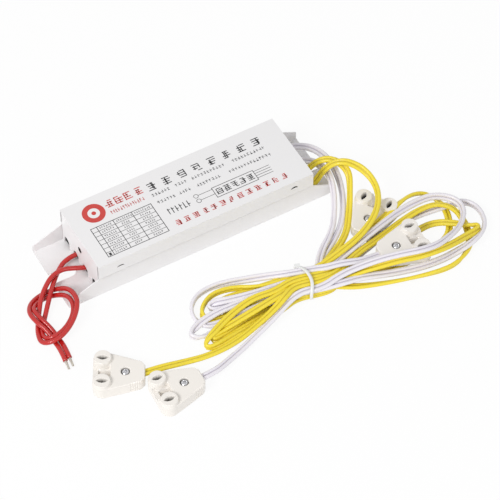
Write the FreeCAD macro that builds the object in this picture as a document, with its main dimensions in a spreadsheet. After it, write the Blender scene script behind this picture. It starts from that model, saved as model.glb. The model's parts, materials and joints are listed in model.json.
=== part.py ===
"""Electronic ballast for two fluorescent tubes: a folded steel tray with a folded lid, the circuit inside it,
two tied mains wires, and four flat twin leads, coiled and tied in a hank, that end in lamp holders.

Millimetres. The origin is the middle of the tray's underside, +X runs along the tray towards the lamp leads,
+Y is the side away from the hank and +Z is up. Everything rests on z = 0.
"""
import FreeCAD, Part
import Sketcher
import math
import os

V = FreeCAD.Vector
UP = V(0, 0, 1)
doc = FreeCAD.newDocument("lamp_ballast")
sheet = doc.addObject("Spreadsheet::Sheet", "sizes")

# Driving sizes
S = {
    "tray_length": 140.0,
    "tray_width": 37.2,
    "tray_wall": 11.4,
    "ear_wall": 4.6,
    "gauge": 0.5,
    "notch_width": 6.0,
    "notch_depth": 12.5,
    "cover_length": 112.0,
    "cover_shift": 1.5,
    "case_height": 21.0,
    "lid_flap": 8.6,
    "lid_play": 0.15,
    "flap_play": 0.3,
    "flap_lift": 0.9,
    "wire_notch_radius": 2.5,
    "wire_notch_rise": 3.4,
    "wire_notch_pitch": 9.2,
    "vent_radius": 1.7,
    "vent_height": 12.7,
    "liner_gauge": 0.3,
    "liner_wall": 8.0,
    "board_length": 103.0,
    "board_side_gap": 1.0,
    "board_thickness": 1.6,
    "board_lift": 4.0,
    "red_wire": 2.3,
    "red_tip": 1.5,
    "red_tip_length": 4.6,
    "lead": 2.6,
    "pin_pitch": 12.7,
    "holder_front": 4.4,
    "holder_side": 4.0,
    "holder_shoulder": 17.0,
    "holder_back": 19.0,
    "holder_half_front": 8.9,
    "holder_half_shoulder": 5.9,
    "holder_half_back": 3.6,
    "holder_corner": 0.9,
    "recess_front": 3.2,
    "recess_back": 16.0,
    "recess_half_front": 7.7,
    "recess_half_back": 4.4,
    "recess_play": 0.15,
    "holder_top": 6.4,
    "boss_radius": 4.6,
    "boss_top": 8.5,
    "plate_thickness": 1.2,
    "bridge_half": 2.4,
    "bridge_top": 3.4,
    "bridge_back": 3.6,
    "window_front": 2.0,
    "window_half": 1.5,
    "window_back": 3.2,
    "slot_half": 2.7,
    "slot_half_width": 0.45,
    "slot_eye": 1.2,
    "chamber_half": 2.7,
    "chamber_top": 6.6,
    "screw_at": 10.2,
    "screw_hole": 1.4,
    "screw_seat": 2.6,
    "screw_seat_floor": 4.8,
    "screw_shank": 1.15,
    "screw_head": 2.25,
    "screw_head_top": 6.1,
    "hank_low": 3.6,
    "hank_high": 9.3,
    "band_width": 1.8,
    "band_gauge": 0.8,
    "band_across": 17.4,
    "band_top": 9.7,
}
S["half_length"] = S["tray_length"] / 2
S["half_width"] = S["tray_width"] / 2
S["half_inside"] = S["half_width"] - S["gauge"]
S["lid_half_inside"] = S["half_width"] + S["lid_play"]
S["lid_half"] = S["lid_half_inside"] + S["gauge"]
S["lid_under"] = S["case_height"] - S["gauge"]
S["lid_hem"] = S["case_height"] - S["lid_flap"]
S["half_cover"] = S["cover_length"] / 2
S["flap_half"] = S["half_inside"] - S["flap_play"]
S["ear_left"] = S["half_cover"] - S["cover_shift"]
S["ear_right"] = S["half_cover"] + S["cover_shift"]
S["notch_half"] = S["notch_width"] / 2
S["notch_eye"] = S["half_length"] - S["notch_depth"] + S["notch_half"]
S["liner_half"] = S["half_inside"] - S["flap_play"]
S["liner_half_inside"] = S["liner_half"] - S["liner_gauge"]
S["board_width"] = 2 * (S["liner_half_inside"] - S["board_side_gap"])
S["liner_top"] = S["gauge"] + S["liner_gauge"]
S["liner_rim"] = S["gauge"] + S["liner_wall"]
S["half_pitch"] = S["pin_pitch"] / 2
S["arch_inner"] = S["wire_notch_pitch"] / 2
S["arch_outer"] = S["wire_notch_pitch"] * 1.5
S["inner_near"] = S["arch_inner"] - S["wire_notch_radius"]
S["inner_far"] = S["arch_inner"] + S["wire_notch_radius"]
S["outer_near"] = S["arch_outer"] - S["wire_notch_radius"]
S["outer_far"] = S["arch_outer"] + S["wire_notch_radius"]
S["plate_front"] = S["recess_front"] - S["recess_play"]
S["plate_back"] = S["recess_back"] - S["recess_play"]
S["plate_half_front"] = S["recess_half_front"] - S["recess_play"]
S["plate_half_back"] = S["recess_half_back"] - S["recess_play"]
S["bridge_cut"] = S["boss_top"] - S["bridge_top"]
S["seat_cut"] = S["holder_top"] - S["screw_seat_floor"]
S["slot_cut"] = S["boss_top"] - S["plate_thickness"] - 1
S["chamber_cut"] = S["chamber_top"] - S["plate_thickness"]
S["slot_low"] = S["half_pitch"] - S["slot_half_width"]
S["slot_high"] = S["half_pitch"] + S["slot_half_width"]
S["near_chamber_in"] = S["half_pitch"] - S["chamber_half"]
S["near_chamber_out"] = S["half_pitch"] + S["chamber_half"]

for row, (alias, number) in enumerate(S.items(), 1):
    sheet.set("A%d" % row, alias.replace("_", " "))
    sheet.set("B%d" % row, repr(round(number, 4)))
    sheet.setAlias("B%d" % row, alias)
doc.recompute()

parts = {}


# Shared ways of drawing

def number(alias):
    """The value of a named size; a leading minus turns it over and 0 is the axis."""
    if alias == "0":
        return 0.0
    return -S[alias[1:]] if alias.startswith("-") else S[alias]


def body(name):
    made = doc.addObject("PartDesign::Body", name)
    made.Label = name
    return made


def sketch(owner, name, plane, offset=0.0):
    made = owner.newObject("Sketcher::SketchObject", name)
    origin_plane = [f for f in owner.Origin.OriginFeatures if f.Role == plane][0]
    made.AttachmentSupport = [(origin_plane, "")]
    made.MapMode = "FlatFace"
    made.AttachmentOffset = FreeCAD.Placement(V(0, 0, offset), FreeCAD.Rotation())
    return made


def pin(sk, item, place, x, y):
    """Fixes one point of a sketch at two named sizes from the sketch's axes."""
    for kind, alias, axis in (("DistanceX", x, -2), ("DistanceY", y, -1)):
        value = number(alias)
        if value == 0:
            sk.addConstraint(Sketcher.Constraint("PointOnObject", item, place, axis))
            continue
        ends = (-1, 1, item, place) if value > 0 else (item, place, -1, 1)
        index = sk.addConstraint(Sketcher.Constraint(kind, *ends, abs(value)))
        sk.setExpression("Constraints[%d]" % index, "sizes." + alias.lstrip("-"))


def outline(sk, corners):
    """A closed outline of straight lines through corners given by named sizes."""
    spots = [V(number(x), number(y), 0) for x, y in corners]
    first = len(sk.Geometry)
    count = len(spots)
    for i in range(count):
        sk.addGeometry(Part.LineSegment(spots[i], spots[(i + 1) % count]))
    for i in range(count):
        sk.addConstraint(Sketcher.Constraint("Coincident", first + i, 2, first + (i + 1) % count, 1))
    for i, (x, y) in enumerate(corners):
        pin(sk, first + i, 1, x, y)


def disc(sk, x, y, radius):
    item = sk.addGeometry(Part.Circle(V(number(x), number(y), 0), UP, S[radius]))
    pin(sk, item, 3, x, y)
    index = sk.addConstraint(Sketcher.Constraint("Radius", item, S[radius]))
    sk.setExpression("Constraints[%d]" % index, "sizes." + radius)


def pad(owner, name, sk, length, both=False, back=False):
    made = owner.newObject("PartDesign::Pad", name)
    made.Profile = sk
    made.Length = S[length]
    made.setExpression("Length", "sizes." + length)
    made.Midplane = both
    made.Reversed = back
    doc.recompute()
    return made


def pocket(owner, name, sk, length=None, back=False):
    """Cuts to a named depth, or right through both ways, and makes sure that it cut something."""
    before = owner.Shape.Volume
    made = owner.newObject("PartDesign::Pocket", name)
    made.Profile = sk
    if length:
        made.Length = S[length]
        made.setExpression("Length", "sizes." + length)
    else:
        made.Type = "ThroughAll"
        made.Midplane = True
    made.Reversed = back
    doc.recompute()
    if owner.Shape.Volume > before - 1e-3:
        raise ValueError("%s cuts nothing: %s" % (name, made.State))
    return made


def round_corners(owner, name):
    """Rounds the upright edges of a body's last feature."""
    base = owner.Tip
    upright = ["Edge%d" % (i + 1) for i, e in enumerate(base.Shape.Edges)
               if abs(e.tangentAt(e.FirstParameter).z) > 0.99]
    made = owner.newObject("PartDesign::Fillet", name)
    made.Base = (base, upright)
    made.Radius = S["holder_corner"]
    made.setExpression("Radius", "sizes.holder_corner")
    doc.recompute()


def solid(kind, name, sizes, at=(0, 0, 0), turn=None):
    """A Part primitive whose properties follow named sizes or plain numbers."""
    made = doc.addObject(kind, name)
    made.Label = name
    for prop, value in sizes.items():
        if isinstance(value, str):
            setattr(made, prop, S[value])
            made.setExpression(prop, "sizes." + value)
        else:
            setattr(made, prop, value)
    made.Placement = FreeCAD.Placement(V(*at), turn or FreeCAD.Rotation())
    return made


def joined(kind, name, base, tool):
    made = doc.addObject(kind, name)
    made.Label = name
    made.Base = base
    made.Tool = tool
    return made


def many(name, shapes):
    made = doc.addObject("Part::MultiFuse", name)
    made.Label = name
    made.Shapes = shapes
    return made


def feature(name, shape, at=None):
    made = doc.addObject("Part::Feature", name)
    made.Label = name
    made.Shape = shape
    if at:
        made.Placement = at
    return made


# Steel case

def make_tray():
    """A U of sheet steel. Its walls drop towards each end, and each end has an open notch for a screw."""
    tray = body("tray")
    section = sketch(tray, "tray_section", "YZ_Plane")
    outline(section, [("-half_width", "0"), ("half_width", "0"), ("half_width", "tray_wall"),
                      ("half_inside", "tray_wall"), ("half_inside", "gauge"), ("-half_inside", "gauge"),
                      ("-half_inside", "tray_wall"), ("-half_width", "tray_wall")])
    pad(tray, "tray_fold", section, "tray_length", both=True)
    slope = sketch(tray, "tray_slope", "XZ_Plane")
    outline(slope, [("-ear_left", "tray_wall"), ("-half_length", "tray_wall"), ("-half_length", "ear_wall")])
    outline(slope, [("ear_right", "tray_wall"), ("half_length", "ear_wall"), ("half_length", "tray_wall")])
    pocket(tray, "tray_taper", slope)
    notch = sketch(tray, "tray_notch", "XY_Plane")
    for sign in ("", "-"):
        outline(notch, [(sign + "notch_eye", "-notch_half"), (sign + "half_length", "-notch_half"),
                        (sign + "half_length", "notch_half"), (sign + "notch_eye", "notch_half")])
    pocket(tray, "tray_notches", notch)
    for sign, side in (("", "right"), ("-", "left")):
        eye = sketch(tray, "tray_eye_" + side, "XY_Plane")
        disc(eye, sign + "notch_eye", "0", "notch_half")
        pocket(tray, "tray_notch_" + side, eye)
    parts["tray"] = tray


def make_cover():
    """The lid: a plate with four edges folded down. The end flaps have arches for the wires."""
    cover = body("cover")
    section = sketch(cover, "cover_section", "YZ_Plane")
    outline(section, [("-lid_half", "lid_hem"), ("-lid_half", "case_height"), ("lid_half", "case_height"),
                      ("lid_half", "lid_hem"), ("lid_half_inside", "lid_hem"), ("lid_half_inside", "lid_under"),
                      ("-lid_half_inside", "lid_under"), ("-lid_half_inside", "lid_hem")])
    pad(cover, "cover_fold", section, "cover_length", both=True)
    for side, sign in (("right", 1), ("left", -1)):
        flap = sketch(cover, "flap_" + side, "YZ_Plane", sign * S["half_cover"])
        outline(flap, [("-flap_half", "flap_lift"), ("flap_half", "flap_lift"),
                       ("flap_half", "lid_under"), ("-flap_half", "lid_under")])
        pad(cover, "cover_flap_" + side, flap, "gauge", back=sign > 0)
    for index, side in enumerate(("-outer", "-inner", "inner", "outer"), 1):
        mouth = sketch(cover, "mouth_%d" % index, "YZ_Plane")
        near, far = side + "_near", side + "_far"
        outline(mouth, [(near, "0"), (far, "0"), (far, "wire_notch_rise"), (near, "wire_notch_rise")])
        pocket(cover, "wire_mouth_%d" % index, mouth)
        arch = sketch(cover, "arch_%d" % index, "YZ_Plane")
        middle = ("-arch_" if side.startswith("-") else "arch_") + side.lstrip("-")
        disc(arch, middle, "wire_notch_rise", "wire_notch_radius")
        pocket(cover, "wire_arch_%d" % index, arch)
    vent = sketch(cover, "vent", "YZ_Plane")
    disc(vent, "0", "vent_height", "vent_radius")
    pocket(cover, "vent_hole", vent, "cover_length", back=True)
    cover.Placement = FreeCAD.Placement(V(S["cover_shift"], 0, 0), FreeCAD.Rotation())
    parts["cover"] = cover


def make_liner():
    """A U of insulating card between the tray and the circuit."""
    liner = body("insulating_sheet")
    section = sketch(liner, "liner_section", "YZ_Plane")
    outline(section, [("-liner_half", "gauge"), ("liner_half", "gauge"), ("liner_half", "liner_rim"),
                      ("liner_half_inside", "liner_rim"), ("liner_half_inside", "liner_top"),
                      ("-liner_half_inside", "liner_top"), ("-liner_half_inside", "liner_rim"),
                      ("-liner_half", "liner_rim")])
    pad(liner, "liner_fold", section, "board_length", both=True)
    liner.Placement = FreeCAD.Placement(V(S["cover_shift"], 0, 0), FreeCAD.Rotation())
    parts["insulating_sheet"] = liner


# Circuit

BOARD_TOP = S["board_lift"] + S["board_thickness"]


def make_board():
    """The circuit board, on four stubs that stand on the card."""
    plate = solid("Part::Box", "board_plate",
                  {"Length": "board_length", "Width": "board_width", "Height": "board_thickness"},
                  (S["cover_shift"] - S["board_length"] / 2, -S["board_width"] / 2, S["board_lift"]))
    stub_radius = 1.5
    inset = 4.0
    stubs = []
    for i, (sx, sy) in enumerate(((-1, -1), (-1, 1), (1, -1), (1, 1)), 1):
        at = (S["cover_shift"] + sx * (S["board_length"] / 2 - inset),
              sy * (S["board_width"] / 2 - inset), S["liner_top"])
        stubs.append(solid("Part::Cylinder", "board_stub_%d" % i,
                           {"Radius": stub_radius, "Height": S["board_lift"] - S["liner_top"]}, at))
    parts["circuit_board"] = many("circuit_board", [plate] + stubs)


def lying_part(name, radius, length, at, along_y, leg=0.4, reach=2.2):
    """A part with wire legs at both ends: a cylinder lying just above the board."""
    turn = FreeCAD.Rotation(V(1, 0, 0), -90) if along_y else FreeCAD.Rotation(V(0, 1, 0), 90)
    direction = turn.multVec(UP)
    middle = V(*at) + UP * (radius + 0.3)
    shell = solid("Part::Cylinder", name + "_shell", {"Radius": radius, "Height": length},
                  middle - direction * (length / 2), turn)
    wire = solid("Part::Cylinder", name + "_wire", {"Radius": leg, "Height": length + 2 * reach},
                 middle - direction * (length / 2 + reach), turn)
    pieces = [shell, wire]
    for i, sign in enumerate((-1, 1), 1):
        foot = middle + direction * (sign * (length / 2 + reach - leg)) - UP * (radius + 0.3)
        pieces.append(solid("Part::Cylinder", "%s_leg_%d" % (name, i),
                            {"Radius": 0.8 * leg, "Height": radius + 0.3}, foot))
    parts[name] = many(name, pieces)


def make_capacitor_can(name, radius, length, at):
    """An electrolytic can lying along the board with a pressed ring near its foot."""
    turn = FreeCAD.Rotation(V(0, 1, 0), 90)
    can = solid("Part::Cylinder", name + "_can", {"Radius": radius, "Height": length}, at, turn)
    ring = solid("Part::Torus", name + "_ring", {"Radius1": radius + 0.25, "Radius2": 0.7},
                 (at[0] + 2.5, at[1], at[2]), turn)
    parts[name] = joined("Part::Cut", name, can, ring)


def make_block(name, sizes, at):
    """A boxed film capacitor with two legs."""
    length, width, height = sizes
    case = solid("Part::Box", name + "_case", {"Length": length, "Width": width, "Height": height},
                 (at[0] - length / 2, at[1] - width / 2, at[2] + 0.4))
    legs = [solid("Part::Cylinder", "%s_leg_%d" % (name, i), {"Radius": 0.35, "Height": 0.8},
                  (at[0] + sign * (length / 2 - 1.5), at[1], at[2])) for i, sign in enumerate((-1, 1), 1)]
    parts[name] = many(name, [case] + legs)


def make_transistor(name, at):
    """A flat-backed power transistor standing on three legs."""
    width, depth, leg_length, lid_gap = 8.0, 3.0, 2.4, 2.0
    height = S["lid_under"] - lid_gap - at[2] - leg_length
    hole_radius, hole_drop = 1.5, 3.3
    case = solid("Part::Box", name + "_case", {"Length": width, "Width": depth, "Height": height},
                 (at[0] - width / 2, at[1] - depth / 2, at[2] + leg_length))
    hole = solid("Part::Cylinder", name + "_hole", {"Radius": hole_radius, "Height": depth},
                 (at[0], at[1] + depth / 2, at[2] + leg_length + height - hole_drop),
                 FreeCAD.Rotation(V(1, 0, 0), 90))
    drilled = joined("Part::Cut", name + "_drilled", case, hole)
    legs = [solid("Part::Box", "%s_leg_%d" % (name, i), {"Length": 0.7, "Width": 0.5, "Height": leg_length},
                  (at[0] - 0.35 + (i - 2) * 2.3, at[1] - 0.25, at[2])) for i in (1, 2, 3)]
    parts[name] = many(name, [drilled] + legs)


def make_drum_choke(at):
    """The mains choke: a ferrite drum with its winding between the two rims."""
    rim, waist, rim_height, height = 4.6, 2.4, 1.4, 11.0
    low = solid("Part::Cylinder", "choke_low_rim", {"Radius": rim, "Height": rim_height}, at)
    stem = solid("Part::Cylinder", "choke_stem", {"Radius": waist, "Height": height}, at)
    high = solid("Part::Cylinder", "choke_high_rim", {"Radius": rim, "Height": rim_height},
                 (at[0], at[1], at[2] + height - rim_height))
    parts["input_choke_core"] = many("input_choke_core", [low, stem, high])
    turns = height - 2 * rim_height
    outer = solid("Part::Cylinder", "choke_turns", {"Radius": rim - 0.5, "Height": turns},
                  (at[0], at[1], at[2] + rim_height))
    inner = solid("Part::Cylinder", "choke_bore", {"Radius": waist, "Height": turns},
                  (at[0], at[1], at[2] + rim_height))
    parts["input_choke_winding"] = joined("Part::Cut", "input_choke_winding", outer, inner)


def make_drive_ring(at):
    """The small ring transformer that switches the two transistors, with three windings."""
    outer, inner, height, wire = 5.0, 2.6, 4.5, 0.6
    ring = solid("Part::Cylinder", "ring_outer", {"Radius": outer, "Height": height}, at)
    bore = solid("Part::Cylinder", "ring_bore", {"Radius": inner, "Height": height}, at)
    parts["drive_ring_core"] = joined("Part::Cut", "drive_ring_core", ring, bore)
    turns = []
    for start in (20, 140, 260):
        frame = Part.Face(Part.makePolygon([V(inner - wire, 0, -wire), V(outer + wire, 0, -wire),
                                            V(outer + wire, 0, height + wire), V(inner - wire, 0, height + wire),
                                            V(inner - wire, 0, -wire)]))
        hole = Part.Face(Part.makePolygon([V(inner, 0, 0), V(outer, 0, 0), V(outer, 0, height),
                                           V(inner, 0, height), V(inner, 0, 0)]))
        band = frame.cut(hole).revolve(V(0, 0, 0), UP, 62)
        band.rotate(V(0, 0, 0), UP, start)
        turns.append(band)
    parts["drive_ring_winding"] = feature("drive_ring_winding", Part.makeCompound(turns),
                                          FreeCAD.Placement(V(*at), FreeCAD.Rotation()))


def make_output_choke(index, at):
    """A lamp choke: a ferrite core of two windows round a centre leg, and the coil on that leg."""
    length, width, limb, leg, lid_gap = 16.0, 5.0, 2.2, 4.2, 1.7
    height = S["lid_under"] - lid_gap - at[2]
    name = "output_choke_%d" % index
    block = solid("Part::Box", name + "_block", {"Length": length, "Width": width, "Height": height},
                  (at[0] - length / 2, at[1] - width / 2, at[2]))
    window = length / 2 - limb - leg / 2
    holes = [solid("Part::Box", "%s_window_%d" % (name, i),
                   {"Length": window, "Width": width, "Height": height - 2 * limb},
                   (at[0] + edge, at[1] - width / 2, at[2] + limb))
             for i, edge in enumerate((-length / 2 + limb, leg / 2), 1)]
    parts[name + "_core"] = joined("Part::Cut", name + "_core", block, many(name + "_windows", holes))
    coil_half = length / 2 - limb - 0.3
    coil_height = height - 2 * limb - 0.4
    bulk = solid("Part::Box", name + "_bulk",
                 {"Length": 2 * coil_half, "Width": width + 6, "Height": coil_height},
                 (at[0] - coil_half, at[1] - width / 2 - 3, at[2] + limb + 0.2))
    room = solid("Part::Box", name + "_room",
                 {"Length": leg + 0.2, "Width": width + 0.2, "Height": coil_height},
                 (at[0] - leg / 2 - 0.1, at[1] - width / 2 - 0.1, at[2] + limb + 0.2))
    parts[name + "_coil"] = joined("Part::Cut", name + "_coil", bulk, room)


def make_circuit():
    make_board()
    z = BOARD_TOP
    lying_part("input_fuse", 1.8, 8.0, (-43.5, 9.0, z), True, leg=0.5)
    for i in range(4):
        lying_part("rectifier_diode_%d" % (i + 1), 1.35, 5.0, (-36.0 + 4.2 * i, 10.5, z), True)
    make_drum_choke((-42.5, -9.5, z))
    for i in range(2):
        make_capacitor_can("bulk_capacitor_%d" % (i + 1), 5.0, 16.0, (-35.0 + 18.5 * i, -8.5, z + 5.0))
    make_block("film_capacitor_1", (10.0, 4.0, 8.0), (-12.0, 12.0, z))
    make_block("film_capacitor_2", (10.0, 4.0, 8.0), (-12.0, 5.0, z))
    lying_part("trigger_diode", 1.0, 3.8, (-2.0, 11.0, z), True)
    for i in range(2):
        lying_part("base_resistor_%d" % (i + 1), 1.2, 6.0, (3.0 + 4.0 * i, 10.5, z), True)
    make_drive_ring((8.0, 0.0, z + 0.8))
    for i in range(2):
        make_transistor("transistor_%d" % (i + 1), (8.0 + 11.0 * i, -13.0, z))
    for i, across in enumerate((8.0, -8.0), 1):
        make_output_choke(i, (27.0 if i == 1 else 33.5, across, z))
    for i, across in enumerate((8.0, -8.0), 1):
        make_block("lamp_capacitor_%d" % i, (6.0, 12.5, 11.0), (47.0, across, z))


# Lamp holders

# Each holder's place: the point midway between its two contact slots, its height above the table
# and the direction from that point to the end where its lead comes in
HOLDERS = [
    (V(-74.8, -60.8, 0), -29.5),
    (V(-56.1, -83.3, 0), -3.0),
    (V(80.8, -38.0, 0), 217.0),
    (V(84.4, -67.0, S["hank_low"]), 177.0),
]
LEAD_ENTRY = 3.9
LEAD_BITE = 1.2


def make_holder(index, spot, angle):
    """A flat tapered lamp holder: two round bosses with contact slots, and a screw that closes its back."""
    name = "lamp_holder_%d" % index
    place = FreeCAD.Placement(spot, FreeCAD.Rotation(UP, angle))
    shell = body(name + "_body")
    base = sketch(shell, name + "_base", "XY_Plane")
    outline(base, [("-holder_front", "-holder_half_front"), ("holder_side", "-holder_half_front"),
                   ("holder_shoulder", "-holder_half_shoulder"), ("holder_back", "-holder_half_back"),
                   ("holder_back", "holder_half_back"), ("holder_shoulder", "holder_half_shoulder"),
                   ("holder_side", "holder_half_front"), ("-holder_front", "holder_half_front")])
    pad(shell, name + "_slab", base, "holder_top")
    round_corners(shell, name + "_corners")
    for side, alias in (("left", "half_pitch"), ("right", "-half_pitch")):
        ring = sketch(shell, name + "_ring_" + side, "XY_Plane")
        disc(ring, "0", alias, "boss_radius")
        pad(shell, name + "_boss_" + side, ring, "boss_top")
    bridge = sketch(shell, name + "_bridge", "XY_Plane", S["boss_top"])
    outline(bridge, [("-holder_front", "-bridge_half"), ("bridge_back", "-bridge_half"),
                     ("bridge_back", "bridge_half"), ("-holder_front", "bridge_half")])
    pocket(shell, name + "_step", bridge, "bridge_cut")
    window = sketch(shell, name + "_window", "XY_Plane")
    outline(window, [("-window_front", "-window_half"), ("window_back", "-window_half"),
                     ("window_back", "window_half"), ("-window_front", "window_half")])
    pocket(shell, name + "_opening", window)
    for side, sign in (("left", ""), ("right", "-")):
        eye = sketch(shell, name + "_eye_" + side, "XY_Plane", S["boss_top"])
        disc(eye, "0", sign + "half_pitch", "slot_eye")
        pocket(shell, name + "_pin_hole_" + side, eye, "slot_cut")
        slot = sketch(shell, name + "_slot_" + side, "XY_Plane", S["boss_top"])
        low, high = sign + "slot_low", sign + "slot_high"
        outline(slot, [("-slot_half", low), ("slot_half", low), ("slot_half", high), ("-slot_half", high)])
        pocket(shell, name + "_pin_slot_" + side, slot, "slot_cut")
        room = sketch(shell, name + "_chamber_" + side, "XY_Plane", S["plate_thickness"])
        inner, outer = sign + "near_chamber_in", sign + "near_chamber_out"
        outline(room, [("-chamber_half", inner), ("chamber_half", inner),
                       ("chamber_half", outer), ("-chamber_half", outer)])
        pocket(shell, name + "_room_" + side, room, "chamber_cut", back=True)
    for part, radius, depth in (("hole", "screw_hole", None), ("seat", "screw_seat", "seat_cut")):
        bore = sketch(shell, name + "_" + part, "XY_Plane", S["holder_top"] if depth else 0.0)
        disc(bore, "screw_at", "0", radius)
        pocket(shell, name + "_screw_" + part, bore, depth)
    recess = sketch(shell, name + "_recess", "XY_Plane")
    outline(recess, [("-recess_front", "-recess_half_front"), ("holder_side", "-recess_half_front"),
                     ("recess_back", "-recess_half_back"), ("recess_back", "recess_half_back"),
                     ("holder_side", "recess_half_front"), ("-recess_front", "recess_half_front")])
    pocket(shell, name + "_back_recess", recess, "plate_thickness", back=True)
    shell.Placement = place
    parts[name + "_body"] = shell
    make_holder_back(name, place)
    make_contacts(name, place)
    make_screw(name, place)


def make_holder_back(name, place):
    """The flat back that closes a holder from below, with a pilot hole for the screw."""
    plate = body(name + "_back")
    base = sketch(plate, name + "_back_base", "XY_Plane")
    outline(base, [("-plate_front", "-plate_half_front"), ("holder_side", "-plate_half_front"),
                   ("plate_back", "-plate_half_back"), ("plate_back", "plate_half_back"),
                   ("holder_side", "plate_half_front"), ("-plate_front", "plate_half_front")])
    pad(plate, name + "_back_slab", base, "plate_thickness")
    window = sketch(plate, name + "_back_window", "XY_Plane")
    outline(window, [("-window_front", "-window_half"), ("window_back", "-window_half"),
                     ("window_back", "window_half"), ("-window_front", "window_half")])
    pocket(plate, name + "_back_opening", window)
    bore = sketch(plate, name + "_back_bore", "XY_Plane")
    disc(bore, "screw_at", "0", "screw_shank")
    pocket(plate, name + "_back_pilot", bore)
    plate.Placement = place
    parts[name + "_back"] = plate


def make_contacts(name, place):
    """The two brass contacts of a holder: a spring fork in each chamber, under its slot."""
    leaf, length, height, gap = 0.4, 4.6, 4.2, 1.1
    shapes = []
    for sign in (-1, 1):
        across = sign * S["half_pitch"]
        floor = Part.makeBox(length, 2 * gap + 2 * leaf, leaf, V(-length / 2, across - gap - leaf, 0))
        walls = [Part.makeBox(length, leaf, height, V(-length / 2, across + edge, 0))
                 for edge in (-gap - leaf, gap)]
        shapes.append(floor.fuse(walls).removeSplitter())
    lift = FreeCAD.Placement(V(0, 0, S["plate_thickness"] + 0.1), FreeCAD.Rotation())
    parts[name + "_contacts"] = feature(name + "_contacts", Part.makeCompound(shapes), place.multiply(lift))


def make_screw(name, place):
    """The steel screw that closes a holder, with a crossed recess."""
    at = S["screw_at"]
    foot, recess = 0.3, 0.9
    shank = solid("Part::Cylinder", name + "_shank",
                  {"Radius": "screw_shank", "Height": S["screw_seat_floor"] - foot}, (at, 0, foot))
    head = solid("Part::Cone", name + "_head",
                 {"Radius1": 1.3, "Radius2": "screw_head",
                  "Height": S["screw_head_top"] - S["screw_seat_floor"]}, (at, 0, S["screw_seat_floor"]))
    whole = many(name + "_blank", [shank, head])
    long, thin = 2.8, 0.6
    bars = [solid("Part::Box", "%s_cross_%d" % (name, i), {"Length": a, "Width": b, "Height": recess},
                  (at - a / 2, -b / 2, S["screw_head_top"] - recess))
            for i, (a, b) in enumerate(((long, thin), (thin, long)), 1)]
    cut = joined("Part::Cut", name + "_screw", whole, many(name + "_cross", bars))
    cut.Placement = place
    parts[name + "_screw"] = cut


# Wires

def route(points):
    """Straight runs joined by tangent arcs; each arc is as large as its two runs allow."""
    spots = [V(*p) for p in points]
    edges, radii = [], []
    start = spots[0]
    for i in range(1, len(spots) - 1):
        arrive, leave = spots[i] - spots[i - 1], spots[i + 1] - spots[i]
        shorter = min(arrive.Length, leave.Length)
        half_turn = arrive.getAngle(leave) / 2
        reach = 0.45 * shorter
        radii.append(reach / math.tan(half_turn))
        arrive.normalize()
        leave.normalize()
        first, last = spots[i] - arrive * reach, spots[i] + leave * reach
        inward = leave - arrive
        inward.normalize()
        sagitta = radii[-1] * (1 / math.cos(half_turn) - 1)
        edges.append(Part.LineSegment(start, first).toShape())
        edges.append(Part.Arc(first, spots[i] + inward * sagitta, last).toShape())
        start = last
    edges.append(Part.LineSegment(start, spots[-1]).toShape())
    return Part.Wire(edges), radii


def tube(name, points, width):
    """A plain round wire along its route, checked against its section times its length."""
    path, radii = route(points)
    heading = V(*points[1]) - V(*points[0])
    ring = Part.Wire(Part.makeCircle(width / 2, V(*points[0]), heading))
    shape = path.makePipeShell([ring], True, False)
    expected = math.pi * width ** 2 / 4 * path.Length
    runs = [(V(*b) - V(*a)).Length for a, b in zip(points, points[1:])]
    lowest = shape.optimalBoundingBox(False, False).ZMin
    print("%s: length %.1f, radii %.1f to %.1f, runs %.1f to %.1f, lowest %.2f, volume ratio %.4f"
          % (name, path.Length, min(radii), max(radii), min(runs), max(runs), lowest, shape.Volume / expected))
    if abs(shape.Volume / expected - 1) > 0.01 or lowest < -0.01:
        raise ValueError(name + " isn't a plain tube above the table")
    return feature(name, shape)


# The two mains wires leave the tray side by side, cross, and are tied in one loose overhand knot
RED_ROUTES = [
    [(-53.5, 4.6, 4.2), (-60.0, 4.4, 4.4), (-66.2, 0.4, 3.4), (-72.4, -6.8, 4.8), (-77.8, -13.4, 4.2),
     (-83.2, -19.6, 1.3), (-87.5, -24.7, 1.2), (-88.7, -29.8, 1.9), (-85.5, -32.8, 4.4), (-78.4, -30.8, 4.5),
     (-72.0, -26.4, 5.8), (-69.2, -20.8, 7.3), (-69.5, -15.0, 6.2), (-72.6, -10.4, 2.0), (-77.2, -8.9, 1.2),
     (-82.3, -9.7, 1.3), (-86.6, -13.6, 3.8), (-85.8, -19.8, 4.4), (-83.4, -25.8, 2.8), (-82.3, -31.4, 1.2),
     (-81.9, -37.6, 1.2), (-82.8, -44.0, 1.2)],
    [(-53.5, -4.6, 4.2), (-59.0, -3.0, 5.4), (-64.6, -1.6, 6.6), (-70.6, -2.8, 6.7), (-76.0, -6.2, 5.0),
     (-80.6, -10.8, 3.9), (-83.8, -15.5, 1.9), (-87.6, -20.2, 1.2), (-90.6, -25.4, 1.2), (-91.5, -31.8, 1.6),
     (-86.4, -35.4, 4.0), (-79.2, -33.8, 4.3), (-72.2, -30.2, 5.2), (-67.8, -25.4, 7.4), (-65.6, -19.6, 8.9),
     (-66.2, -13.4, 7.4), (-69.4, -8.6, 3.1), (-74.2, -6.0, 1.3), (-79.8, -6.2, 1.2), (-85.8, -8.5, 1.9),
     (-89.4, -14.5, 3.8), (-88.6, -21.0, 4.4), (-85.6, -26.9, 3.3), (-84.8, -32.2, 1.2), (-84.4, -38.2, 1.2),
     (-85.4, -44.6, 1.2)],
]

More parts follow.
